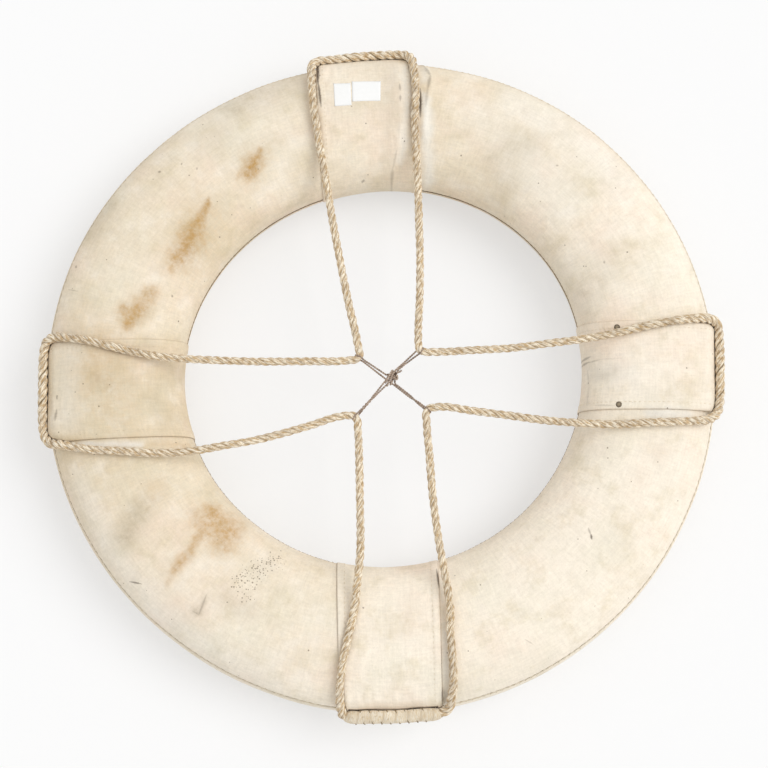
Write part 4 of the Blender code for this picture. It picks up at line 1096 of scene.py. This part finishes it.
lashing = {
    "knotPlace": (0.0098, -0.0032),
    "knotPitch": 0.0030,
    "knotTurns": 2.644,
    "turnPoints": 14,
    "knotStart": 55.0,
    "squareness": 2.5,
    "halfHeight": 0.0091,
    "halfDepth": 0.0049,
    "lean": -24.0,        # the coil's turns lean to the right at the top
    "armStart": 0.0085,
    "firstArmStart": 0.0098,
    "tail": [(0.0122, 0.0074, 0.0066), (0.0106, 0.0062, 0.0062), (0.0082, 0.0050, 0.0060),
             (0.0052, 0.0036, 0.0066), (0.0074, 0.0006, 0.0062), (0.0070, -0.0030, 0.0048)],
    "bend": (0.0052, 0.0004, 0.0),    # between its second and third arms the twine bends here
    "levels": 0.0013,
    "loop": 0.0041,       # round the line, which is drawn in by it
    # Painted shadow in the holes between the turns
    "shadowHollows": [(0.0053, 0.0039), (0.0036, -0.0035)],    # dark holes between the turns
}
lashingArms = {
    # Where an arm's middle line would pass the knot, the gap between its two lines at the knot, part of
    # the way out and at the corner, and their turns
    "northWest": {"hub": (0.0015, -0.0040, 0), "gaps": [(0, 0.0042), (0.5, 0.0030), (1, 0.0020)],
                  "turns": 0},
    "southEast": {"hub": (-0.0022, -0.0023, 0), "gaps": [(0, 0.0019), (1, 0.0018)], "turns": 0.5},
    "northEast": {"hub": (0.0019, 0.0044, 0), "gaps": [(0, 0.0018), (0.35, 0.0020), (1, 0.0040)],
                  "turns": 0},
    "southWest": {"hub": (0.0004, 0.0003, 0), "gaps": [(0, 0.0040), (0.38, 0.0018), (1, 0.0018)],
                  "turns": 2},
}


def twineArm(knot, corner, level, startAway, arm):
    # Out along one side of an arm, over the line, round it, and back along the other side
    hub = knot + np.array(arm["hub"])
    away = (corner - hub) * (1, 1, 0)
    reach = np.linalg.norm(away)
    away /= reach
    aside = np.array([away[1], -away[0], 0])
    up = np.array([0, 0, 1.0])
    loop = lashing["loop"]
    far = reach - 1.6 * loop

    def side(start, sign):
        # Half the gap to one side of the arm's middle, turned about it from its middle outwards
        spots = np.linspace(start, far, 12)
        share = (spots - start) / (far - start)
        half = np.interp(share, *zip(*arm["gaps"])) / 2
        turn = 2 * pi * arm["turns"] * np.clip((share - 0.5) / 0.42, 0, 1)
        return [hub + away * s + up * level * (1 - p) + sign * h * (aside * cos(t) + up * sin(t))
                for s, p, h, t in zip(spots, share, half, turn)]

    gap = arm["gaps"][-1][1] / 2
    sign = cos(2 * pi * arm["turns"])
    turned = [corner + (away * cos(radians(a)) + up * sin(radians(a))) * loop + aside * (sign * gap * a / 90)
              for a in (110, 80, 50, 20, -20, -50, -80, -110)]
    return side(startAway, 1) + turned + side(lashing["armStart"], -1)[::-1]


def nearestTo(knot, path, low):
    # The line's point that comes closest to the knot, in one quarter round it
    away = path - knot
    angles = np.degrees(np.arctan2(away[:, 1], away[:, 0])) % 360
    inside = (angles > low) & (angles < low + 90)
    return path[inside][np.argmin(np.linalg.norm(away[inside], axis=1))]


def twineRoute():
    knot = np.array([*lashing["knotPlace"], faceHeight - line["sag"]])
    corners = {name: nearestTo(knot, lineLoop, low) for name, low in
               (("northEast", 0), ("northWest", 90), ("southWest", 180), ("southEast", 270))}
    turns = lashing["knotTurns"]
    angles = lashing["knotStart"] + np.linspace(0, 360 * turns, round(turns * lashing["turnPoints"]) + 1)
    power = 2 / lashing["squareness"]
    uneven = 1 + 0.10 * np.cos(np.radians(angles * 0.63 + 40))
    x = lashing["knotPitch"] * (turns / 2 - (angles - lashing["knotStart"]) / 360)
    barrel = 1 - 0.24 * (2 * x / (lashing["knotPitch"] * turns)) ** 2
    y = lashing["halfHeight"] * uneven * barrel * signedPower(np.cos(np.radians(angles)), power)
    z = lashing["halfDepth"] * signedPower(np.sin(np.radians(angles)), power)
    lean = radians(lashing["lean"])
    coil = knot + np.stack([x * cos(lean) - y * sin(lean), x * sin(lean) + y * cos(lean), z], -1)
    tail = [knot + spot for spot in np.array(lashing["tail"])]
    level, start = lashing["levels"], lashing["armStart"]
    arms = [twineArm(knot, corners[name], height, away, lashingArms[name]) for name, height, away in
            (("northWest", -level, lashing["firstArmStart"]), ("southEast", -level, start),
             ("northEast", level, start), ("southWest", level, start))]
    return tail + list(coil) + arms[0] + arms[1] + [knot + np.array(lashing["bend"])] + arms[2] + arms[3]


def addLashing():
    path = evenRun(smoothCurve(twineRoute(), closed=False, perSpan=16), twine["step"])
    # Handling has worn the knot pale. The holes between its turns are painted dark as shadow
    plan = path[:, :2] - lashing["knotPlace"]
    soil = 0.1 + 0.55 * steps(0.006, 0.012, np.linalg.norm(plan, axis=1))
    for hollow in lashing["shadowHollows"]:
        soil = np.maximum(soil, 3 * steps(0.0022, 0.0008, np.linalg.norm(plan - hollow, axis=1)))
    mesh = laidTube("twineLashing", path, 2, twine, soil)
    obj = addPiece("twineLashing", mesh, tarred, ["twine_lashing"])


addLashing()


# Canvas cover: front and back shells that meet at two sewn seams

canvas = paintedCanvas("oil painted cotton canvas", fineShadeAndSpots)
bandCanvas = paintedCanvas("oil painted canvas band", bandShadeAndSpots)
seamThread = laidFibre("brown linen seam thread", "#b89b70", "#94754c", "#5e472d", 0.6)
hemThread = laidFibre("sewing twine painted over", "#f6ead4", "#e6d7ba", "#c4b08c", 0.5)

seams = {
    # The outer one is painted over, and the hole's one bare and brown. Stain: the brown on the cloth
    # beside it. Proud and thick: the height of a stitch's middle line and its radius
    "outer": {"over": ring["outerSeam"], "halfWidth": 0.0012, "bare": 0.0, "finish": hemThread,
              "stain": 0.0, "proud": 0.0003, "thick": 0.00035},
    "inner": {"over": ring["innerSeam"], "halfWidth": 0.0009, "bare": 0.9, "finish": seamThread,
              "stain": 0.30, "proud": 0.0002, "thick": 0.0004},
}
seamSewing = {
    "pitch": 0.0072,
    "length": 0.0046,
    "slant": 0.12,        # degrees round the ring for this many over the section
    "slantOver": 1.5,
    "pucker": 0.00022,
    "puckerReach": 0.006,
    "sectionRadius": 0.060,
    "height": 0.0004,     # of the ridge
    "sunk": 0.0002,
    "sides": 12,
}


def seamPucker(around, over, seam):
    # Small ridges square to a seam, where each stitch draws the cloth in
    away = np.radians(over - seam) * seamSewing["sectionRadius"]
    along = np.radians(around) * middleRadius
    return (seamSewing["pucker"] * np.cos(2 * pi * along / seamSewing["pitch"])
            * np.exp(-(away / seamSewing["puckerReach"]) ** 2))


def ringUv(count, lengths):
    # UV grid of a closed tube that lies round the ring: metres round it, and these lengths over it
    uv = np.empty((count + 1, len(lengths), 2))
    uv[..., 0] = (np.arange(count + 1) * 2 * pi / count * middleRadius)[:, None]
    uv[..., 1] = np.asarray(lengths)[None]
    return uv


ripples = [
    # Wrinkles in plan: the line they lie along, half width, wave length, height, in mm
    ([(112, -228), (132, -208), (150, -192), (176, -168)], 16, 6.5, 0.28),
    ([(-268, -233), (-280, -231)], 4, 6.0, 0.35),
    ([(-352, 112), (-330, 106), (-309, 100)], 3, 8.0, 0.30),
    ([(-146, -285), (-124, -305), (-108, -322)], 9, 9.0, 0.30),
]
folds = [
    # Single folds in plan: the line, half width and height in mm
    ([(41, 376), (49, 366), (57, 350), (56, 338), (50, 320), (48, 296), (50, 262)], 3.0, 2.1),
    ([(-362, 104), (-340, 97), (-309, 85)], 3.5, 0.9),
    ([(-256, -214), (-268, -226), (-282, -238)], 4.0, 0.6),
    ([(300, -170), (306, -188), (300, -214)], 4.0, 0.7),
]


def wrinkles(points):
    # Rows of small waves across a line, strongest on it, and single folds that lie along one
    x, y = points[..., 0], points[..., 1]
    total = np.zeros(x.shape)
    front = steps(middleHeight, middleHeight + 0.01, points[..., 2])
    for way, halfWidth, wave, height in ripples:
        away, _ = lineDistance(x, y, way)
        ends = np.array(way[-1], float) - np.array(way[0], float)
        ends /= np.linalg.norm(ends)
        phase = (x * ends[0] + y * ends[1]) * 1000 + 3 * latticeNoise(points, 0.02, 61)
        total += height / 1000 * np.cos(2 * pi * phase / wave) * np.exp(-(away * 1000 / halfWidth) ** 2)
    for way, halfWidth, height in folds:
        away, place = lineDistance(x, y, way)
        total += (height / 1000 * np.exp(-(away * 1000 / halfWidth) ** 2)
                  * steps(0, 0.12, place) * steps(1, 0.75, place))
    return total * front


def addCover(name, startSeam, endSeam, turns, rows, replaced):
    startOver, endOver = seams[startSeam]["over"], seams[endSeam]["over"] + 360 * turns
    gap = cloth["seamGap"]
    outerOvers, lengths = evenOvers(startOver, endOver, rows)
    spots = np.linspace(gap, lengths[-1] - gap, rows)
    outerOvers = np.interp(spots, lengths, outerOvers)
    innerRows = np.round(np.linspace(rows - 1, 0, cloth["innerRows"])).astype(int)
    around = np.linspace(0, 360, cloth["coverSteps"], endpoint=False)
    a, o = np.meshgrid(around, outerOvers, indexing="ij")
    flat = ringPoint(a, o)
    lift = softWave(flat) + wrinkles(flat) + seamPucker(a, o, startOver) + seamPucker(a, o, endOver)
    # The edges turn in under the seam
    fromStart, fromEnd = spots - gap, lengths[-1] - gap - spots
    fromEdge = np.minimum(fromStart, fromEnd)
    lift = lift - cloth["turnedIn"] * (1 - steps(0, cloth["turnedOver"], fromEdge))[None]
    ia, io = np.meshgrid(around, outerOvers[innerRows], indexing="ij")
    inner = ringPoint(ia, io, softWave(ringPoint(ia, io)) - cloth["wall"])
    points = np.concatenate([ringPoint(a, o, lift), inner], axis=1)
    numbers = paint(points)
    stain = np.zeros(points.shape[1])
    stain[:rows] = sum(seams[seam]["stain"] * (1 - steps(0.0004, 0.0022, away))
                       for seam, away in ((startSeam, fromStart), (endSeam, fromEnd)))
    numbers["edge"] = np.maximum(numbers["edge"], stain[None])
    uv = ringUv(len(around), np.concatenate([spots, spots[innerRows], spots[:1]]))
    mesh = gridMesh(name, points, True, True, uv, numbers)
    obj = addPiece(name, mesh, canvas, [replaced])
    return obj


frontCanvas = addCover("frontCanvas", "outer", "inner", 0, cloth["frontRows"],
                       "front_cover")
backCanvas = addCover("backCanvas", "inner", "outer", 1, cloth["backRows"],
                      "back_cover")
print("cover made")


def addSeam(name, seam):
    # Low ridge where the two shells are drawn together: an ellipse carried round the ring, partly sunk
    around = np.linspace(0, 360, cloth["coverSteps"], endpoint=False)
    sides = seamSewing["sides"]
    a, t = np.meshgrid(around, np.linspace(0, 2 * pi, sides, endpoint=False), indexing="ij")
    base, outwards = ringFrame(a, seam["over"])
    way = ringPoint(a, seam["over"] + 0.5) - ringPoint(a, seam["over"] - 0.5)
    way /= np.linalg.norm(way, axis=2)[..., None]
    lumps = 1 + 0.15 * latticeNoise(base, 0.005, 71)
    lift = softWave(base) - seamSewing["sunk"]
    points = (base + way * (seam["halfWidth"] * np.cos(t) * lumps)[..., None]
              + outwards * (lift + seamSewing["height"] * np.sin(t) * lumps)[..., None])
    bare = np.full(a.shape, seam["bare"])
    mesh = gridMesh(name + "Seam", points, True, True, ringUv(len(around), np.arange(sides + 1) * 0.0008),
                    {"groove": 0.3 * bare, "soil": bare})
    addPiece(name + "Seam", mesh, seam["finish"], [name + "_seam"])


for name, seam in seams.items():
    addSeam(name, seam)


def stitchRow(name, middles, ways, outwards, length, radius, finish):
    # Many short stitches in one mesh: a capsule of eight sides and five rings, its ends sunk in the
    # cloth, laid along a direction at each middle
    sides, rows = 8, 5
    s = np.linspace(-1, 1, rows)
    t = np.linspace(0, 2 * pi, sides, endpoint=False)
    thick = radius * np.sqrt(np.maximum(1 - 0.9 * s ** 2, 0))[:, None]
    dip = (-radius * 0.9 * s ** 2)[:, None]
    middles, ways, outwards = (x[:, None, None] for x in (middles, ways, outwards))
    points = (middles + ways * (s * length / 2)[:, None, None]
              + (np.cross(outwards, ways) * (np.cos(t) * thick)[..., None]
                 + outwards * (np.sin(t) * thick + dip)[..., None]))
    count = len(middles)
    i, j = gridFaces(rows, sides, False, True)
    offset = (np.arange(count) * rows * sides)[:, None, None]
    faces = ((i * sides + j % sides)[None] + offset).reshape(-1, 4)
    ends = np.stack([np.arange(sides), (rows - 1) * sides + np.arange(sides)[::-1]])
    endFaces = (ends[None] + offset).reshape(-1, sides)
    uv = np.stack([i * 0.001, j * 0.0005], -1)
    uvs = [np.tile(uv[None], (count, 1, 1, 1)), np.zeros((len(endFaces), sides, 2))]
    zero = np.zeros(count * rows * sides)
    mesh = meshFrom(name, points, [faces, endFaces], uvs, {"groove": zero, "soil": zero + 0.1})
    return addPiece(name, mesh, finish, ())


def addSeamStitches(name, seam):
    # As many as fit round the ring by its radius, outside or at the hole
    over, slant, slantOver = seam["over"], seamSewing["slant"], seamSewing["slantOver"]
    radius = dict(zip(seams, ringRadii(0.0)))[name]
    count = int(2 * pi * radius / seamSewing["pitch"])
    around = np.arange(count) * 360 / count
    base, outwards = ringFrame(around, over)
    middles = base + outwards * (softWave(base) + seam["proud"])[:, None]
    way = ringPoint(around + slant, over + slantOver) - ringPoint(around - slant, over - slantOver)
    way /= np.linalg.norm(way, axis=1)[:, None]
    stitchRow(name + "SeamStitches", middles, way, outwards, seamSewing["length"], seam["thick"],
              seam["finish"])


for name, seam in seams.items():
    addSeamStitches(name, seam)
print("seams made")


# Bands

creases = {
    # Ridges in plan: the line, how wide its right and left flanks are, and its height, in mm
    "top_band": [([(19, 368), (20, 335), (20, 300), (17, 262), (12, 240), (11, 224)], 3.6, 10, 1.9),
                 ([(30, 366), (31, 330), (29, 290), (30, 250)], 5, 4, 0.7)],
    "left_band": [([(-372, -20), (-368, -34), (-371, -48)], 2.5, 2.5, 0.7)],
    "bottom_band": [([(58, -236), (60, -290), (61, -345)], 5, 3, 0.5)],
    "right_band": [([(228, 15), (246, 18), (268, 17), (300, 20), (345, 22)], 1.6, 4, 0.7),
                   ([(228, 19), (236, 22)], 1.2, 2, 0.6)],
}


hem = {
    # Distances are measured in from the band's edge. The fold is thick up to the first one, and has
    # ended by the second
    "full": 0.0080,
    "ended": 0.0105,
    "thick": 0.0005,
    "sectionRadius": 0.068,
    "rim": 0.0024,        # rounded over this, down to a share of the thickness
    "rimShare": 0.3,
    "stitchIn": 0.0085,
    "stitchPitch": 0.0052,
    "stitchLength": 0.0036,
    "stitchRadius": 0.00032,
    "proud": 0.0001,
    "pucker": 0.00016,
    "puckerReach": 0.0025,
    "sunk": 0.00022,
    "sunkReach": 0.0007,
}
bandCloth = {
    "rows": 400,          # over the section
    "columns": 40,        # between the close ones along the edges
    "backColumns": 9,
    "closeColumns": [0, 0.0002, 0.0005, 0.0009, 0.0015, 0.0026, 0.0042, 0.006, 0.0075, 0.0082, 0.0088,
                     0.0095, 0.0107, 0.0125],
    "openFrom": 0.0145,
    "loose": 0.0003,
    "bulge": 0.0011,      # against the line, between the stitches that hold it
    "bulgePitch": 0.0105,
    "bulgeOver": 44.0,
    "full": 0.0016,       # behind the line
    "tight": 0.45,        # share by which it is drawn thinner round the hole's edge
    "straight": 0.8,      # share of the way to a straight outer edge that it is pulled
}


def bandAround(name, sideways, over):
    # Angle round the ring at which its surface lies this far sideways of a band's middle line
    band = bands[name]
    outwards = np.cos(np.radians(over))
    sideways = sideways * (1 + band["flare"] * outwards) + band["shift"] + band["lean"] * outwards
    reach = np.zeros(np.broadcast(sideways, over).shape)
    for _ in range(7):
        point = ringPoint(band["middle"] + reach, over)
        reach = np.degrees(np.arcsin(sideways / np.hypot(point[..., 0], point[..., 1])))
    return band["middle"] + reach


def creaseLift(name, points):
    x, y = points[..., 0], points[..., 1]
    front = steps(middleHeight - 0.005, middleHeight + 0.01, points[..., 2])
    total = np.zeros(x.shape)
    for way, rightWidth, leftWidth, height in creases[name]:
        away, place = lineDistance(x, y, way)
        (x0, y0), (x1, y1) = np.array(way[0], float) / 1000, np.array(way[-1], float) / 1000
        side = (x - x0) * (y1 - y0) - (y - y0) * (x1 - x0)
        width = np.where(side > 0, leftWidth, rightWidth) / 1000
        total += (height / 1000 * np.exp(-(away / width) ** 2)
                  * steps(0, 0.08, place) * steps(1.0, 0.94, place))
    return total * front


def bandLift(name, sideways, over, around):
    # Height of a band's outside over the ring: clearance, wall, a hem with a rounded rim, small puckers
    # at its stitches, soft waves and creases
    band, sewn = bands[name], bandCloth
    flat = ringPoint(around, over)
    edge = np.maximum(band["width"] / 2 - np.abs(sideways), 0)
    thicker = hem["thick"] * steps(hem["ended"], hem["full"], edge)
    rounded = np.sqrt(np.maximum(1 - (1 - np.clip(edge / hem["rim"], 0, 1)) ** 2, 0))
    rim = hem["rimShare"] + (1 - hem["rimShare"]) * rounded
    along = np.radians(over) * hem["sectionRadius"]
    fromStitch = edge - hem["stitchIn"]
    pucker = (hem["pucker"] * np.cos(2 * pi * along / hem["stitchPitch"])
              * np.exp(-(fromStitch / hem["puckerReach"]) ** 2))
    sunk = hem["sunk"] * np.exp(-(fromStitch / hem["sunkReach"]) ** 2)
    loose = sewn["loose"] * (1 + latticeNoise(flat, 0.03, band["seed"]))
    thick = cloth["wall"] + thicker + pucker - sunk + loose * steps(0, 0.004, edge)
    # Between the stitches that hold the line the cloth bulges against it, and it is full behind it
    turned = (over + 180) % 360 - 180
    scallop = np.abs(np.sin(pi * sideways / sewn["bulgePitch"])) ** 0.7
    nearLine = np.exp(-((turned - sewn["bulgeOver"]) / 6.0) ** 2)
    full = steps(-30, -8, turned) * steps(47, 38, turned) * steps(0, 0.012, edge)
    # It is drawn hard round the edge of the hole
    tight = 1 - sewn["tight"] * np.exp(-(((over % 360) - 180) / 30.0) ** 2)
    return (softWave(flat) + cloth["clearance"] + thick * tight * rim + creaseLift(name, flat)
            + sewn["bulge"] * scallop * nearLine + sewn["full"] * full)


def bandPoint(name, sideways, over, lift):
    # Point of a band. Its outer edge is drawn straight between the line's two corners, so near them
    # it stands off the round of the ring
    band = bands[name]
    around = bandAround(name, sideways, over)
    middle = ringPoint(bandAround(name, np.zeros_like(sideways), over), over)
    m = radians(band["middle"])
    onwards = np.array([cos(m), sin(m), 0])
    short = (middle - ringPoint(around, over)) @ onwards
    turned = (over + 180) % 360 - 180
    window = steps(62, 34, turned) * steps(-50, -15, turned)
    pulled = np.interp(sideways, [-band["width"] / 2, band["width"] / 2], band["pulled"])
    moved = (bandCloth["straight"] * np.maximum(short, 0) + pulled) * window
    return ringPoint(around, over, lift) + onwards * moved[..., None]


def addHemStitches(name, overs, lengths):
    width = bands[name]["width"]
    count = int(lengths[-1] / hem["stitchPitch"])
    spots = (np.arange(count) + 0.5) * lengths[-1] / count
    over = np.interp(spots, lengths, overs)
    sewn = []
    for side in (-1, 1):
        sideways = np.full(count, side * (width / 2 - hem["stitchIn"]))
        around = bandAround(name, sideways, over)
        lift = bandLift(name, sideways, over, around) + hem["proud"]
        ahead = bandPoint(name, sideways, over + 0.5, lift) - bandPoint(name, sideways, over - 0.5, lift)
        ahead /= np.linalg.norm(ahead, axis=1)[:, None]
        sewn.append((bandPoint(name, sideways, over, lift), ahead, ringFrame(around, over)[1]))
    middles, ways, outs = (np.vstack(x) for x in zip(*sewn))
    # None where the ring rests on the floor
    keep = middles[:, 2] > 0.001
    return stitchRow(name.replace("_band", "HemStitches"), middles[keep], ways[keep], outs[keep],
                     hem["stitchLength"], hem["stitchRadius"], hemThread)


def addBand(name):
    band, sewn = bands[name], bandCloth
    half, rows = band["width"] / 2, sewn["rows"]
    # Distances across it, close together at the rim and the hem stitches
    edge = np.array(sewn["closeColumns"])
    inside = np.linspace(-half + sewn["openFrom"], half - sewn["openFrom"], sewn["columns"])
    columns = np.concatenate([edge - half, inside, (half - edge)[::-1]])
    overs, lengths = evenOvers(0, 360, rows + 1)
    o, s = np.meshgrid(overs[:-1], columns, indexing="ij")
    outer = bandPoint(name, s, o, bandLift(name, s, o, bandAround(name, s, o)))
    back = np.linspace(1, -1, sewn["backColumns"]) * (half - 0.0002)
    io, si = np.meshgrid(overs[:-1], back, indexing="ij")
    under = softWave(ringPoint(bandAround(name, si, io), io)) + cloth["clearance"]
    points = np.concatenate([outer, bandPoint(name, si, io, under)], axis=1)
    points[..., 2] = np.maximum(points[..., 2], 0.0)
    numbers = paint(points, band["buff"])
    edge = np.concatenate([half - np.abs(columns), np.zeros(len(back))])
    dark = np.where(np.concatenate([columns, back]) > 0, *band["dark"])
    # Dark edges: edge dirt with painted contact shade where the band meets the cover and the line
    numbers["edge"] = np.maximum(numbers["edge"], (dark * (1 - steps(0.0002, 0.0012, edge)))[None])
    uv = np.empty((rows + 1, points.shape[1] + 1, 2))
    uv[..., 0] = np.concatenate([columns, back, columns[:1]])[None] + 0.3
    uv[..., 1] = lengths[:, None]
    mesh = gridMesh(name, points, True, True, uv, numbers, flip=True)
    obj = addPiece(name.replace("_b", "B"), mesh, bandCanvas, [name])
    stitches = addHemStitches(name, overs, lengths)


for name in bands:
    addBand(name)
print("bands made")


# Tacks and labels

tacks = {
    "places": [(11.75, 115.0), (353.0, 114.6)],
    "radius": 0.0034,
    "height": 0.0015,
    "rim": 0.0003,        # height of the head's edge
    "shank": 0.0008,
    "point": 0.0002,
    "pointLength": 0.003,
    "length": 0.012,
    "sides": 28,
    "unevenness": 0.05,
}
labels = {
    # Corners, outer left and right, then inner left and right: metres sideways of the band's middle
    # line, and how far over
    "corners": [[(0.03687, 58.0), (0.01736, 60.2), (0.03692, 80.7), (0.01748, 82.0)],
                [(0.01580, 58.6), (-0.01768, 60.7), (0.01655, 79.0), (-0.01597, 80.2)]],
    "wall": 0.00025,
    "curl": 0.0007,       # how far a corner lifts
    "lift": 0.00015,
    "columns": 16,
}


def addTack(number, around, over):
    # Hammered head: a dome turned about its shank, its radius uneven by noise
    base, outwards = ringFrame(around, over)
    m = radians(bands["right_band"]["middle"])
    sideways = base[..., 1] * cos(m) - base[..., 0] * sin(m)
    lift = float(bandLift("right_band", sideways, np.array(over), np.array(around)))
    base = base + outwards * (lift - 0.0001)
    r, h, rim, shank, point = (tacks[key] for key in ("radius", "height", "rim", "shank", "point"))
    t = np.linspace(0, pi / 2, 8)[:-1]
    profile = np.array([(point, -tacks["length"]), (shank, tacks["pointLength"] - tacks["length"]),
                        (shank, -0.0002), (r * 0.97, 0.0)]
                       + [(r * cos(a), rim + (h - rim) * sin(a)) for a in t] + [(point, h)])
    sides = tacks["sides"]
    turn = np.linspace(0, 2 * pi, sides, endpoint=False)
    first = np.cross(outwards, (0, 1, 0))
    first /= np.linalg.norm(first)
    rough = latticeNoise(np.stack([np.cos(turn) * 1.3, np.sin(turn) * 1.3, turn * 0 + number], -1), 1.0, 81)
    wide, high = profile[:, :1], profile[:, 1:]
    spread = wide * np.where(high > -0.0001, 1 + tacks["unevenness"] * rough, 1)
    points = (base + spread[..., None] * spun(turn[None], first, np.cross(outwards, first))
              + high[..., None] * outwards)
    uv = np.zeros((len(profile), sides + 1, 2))
    worn = np.broadcast_to(steps(0.85 * r, 0.2 * r, wide), (len(profile), sides))
    mesh = gridMesh(f"tack{number}", points, False, True, uv, {"worn": worn}, caps=True, flip=True)
    addPiece(f"tack{number}", mesh, iron, [f"tack_{number}"])


def addLabel(number, corners):
    # Thin sheet bent to the band, its corners lifting a little: a blend of the four corners' places
    count = labels["columns"]
    u, v = np.meshgrid(np.linspace(0, 1, count), np.linspace(0, 1, count), indexing="ij")
    blend = np.stack([(1 - u) * (1 - v), u * (1 - v), (1 - u) * v, u * v], -1)
    sideways, overs = (blend @ np.array(corners)[:, k] for k in (0, 1))
    around = bandAround("top_band", sideways, overs)
    curl = labels["curl"] * (np.abs(2 * u - 1) ** 6 * np.abs(2 * v - 1) ** 6) + labels["lift"]
    outer = bandLift("top_band", sideways, overs, around) + curl
    points = np.vstack([bandPoint("top_band", sideways, overs, height).reshape(-1, 3)
                        for height in (outer, outer - labels["wall"])])
    i, j = gridFaces(count, count, False, False)
    upper = i * count + j
    lower = (count * count + upper)[:, ::-1]
    # The rim's vertices in order round the sheet
    order = np.arange(count * count).reshape(count, count)
    rim = np.concatenate([order[0], order[1:, -1], order[-1, -2::-1], order[-2:0:-1, 0]])
    after = np.roll(rim, -1)
    walls = np.stack([rim, after, count * count + after, count * count + rim], -1)
    mesh = meshFrom(f"paperLabel{number}", points, [np.vstack([upper, lower, walls])])
    addPiece(f"paperLabel{number}", mesh, paper, [f"paper_label_{number}"])


iron, paper = rustedIron(), labelPaper()
for number, spot in enumerate(tacks["places"], 1):
    addTack(number, *spot)
for number, corners in enumerate(labels["corners"], 1):
    addLabel(number, corners)
print("tacks and labels made")


# The parts inside keep their own shapes, and are given a finish only

corkFinish, ashFinish = naturalCork(), turnedAsh()
for name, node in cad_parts.items():
    finish = corkFinish if name.startswith("cork_") else ashFinish if name.startswith("dowel_") else None
    if finish:
        for place in range(len(node.material_slots)):
            node.material_slots[place].material = finish

setLight()
addFloor()
print("light and floor set")
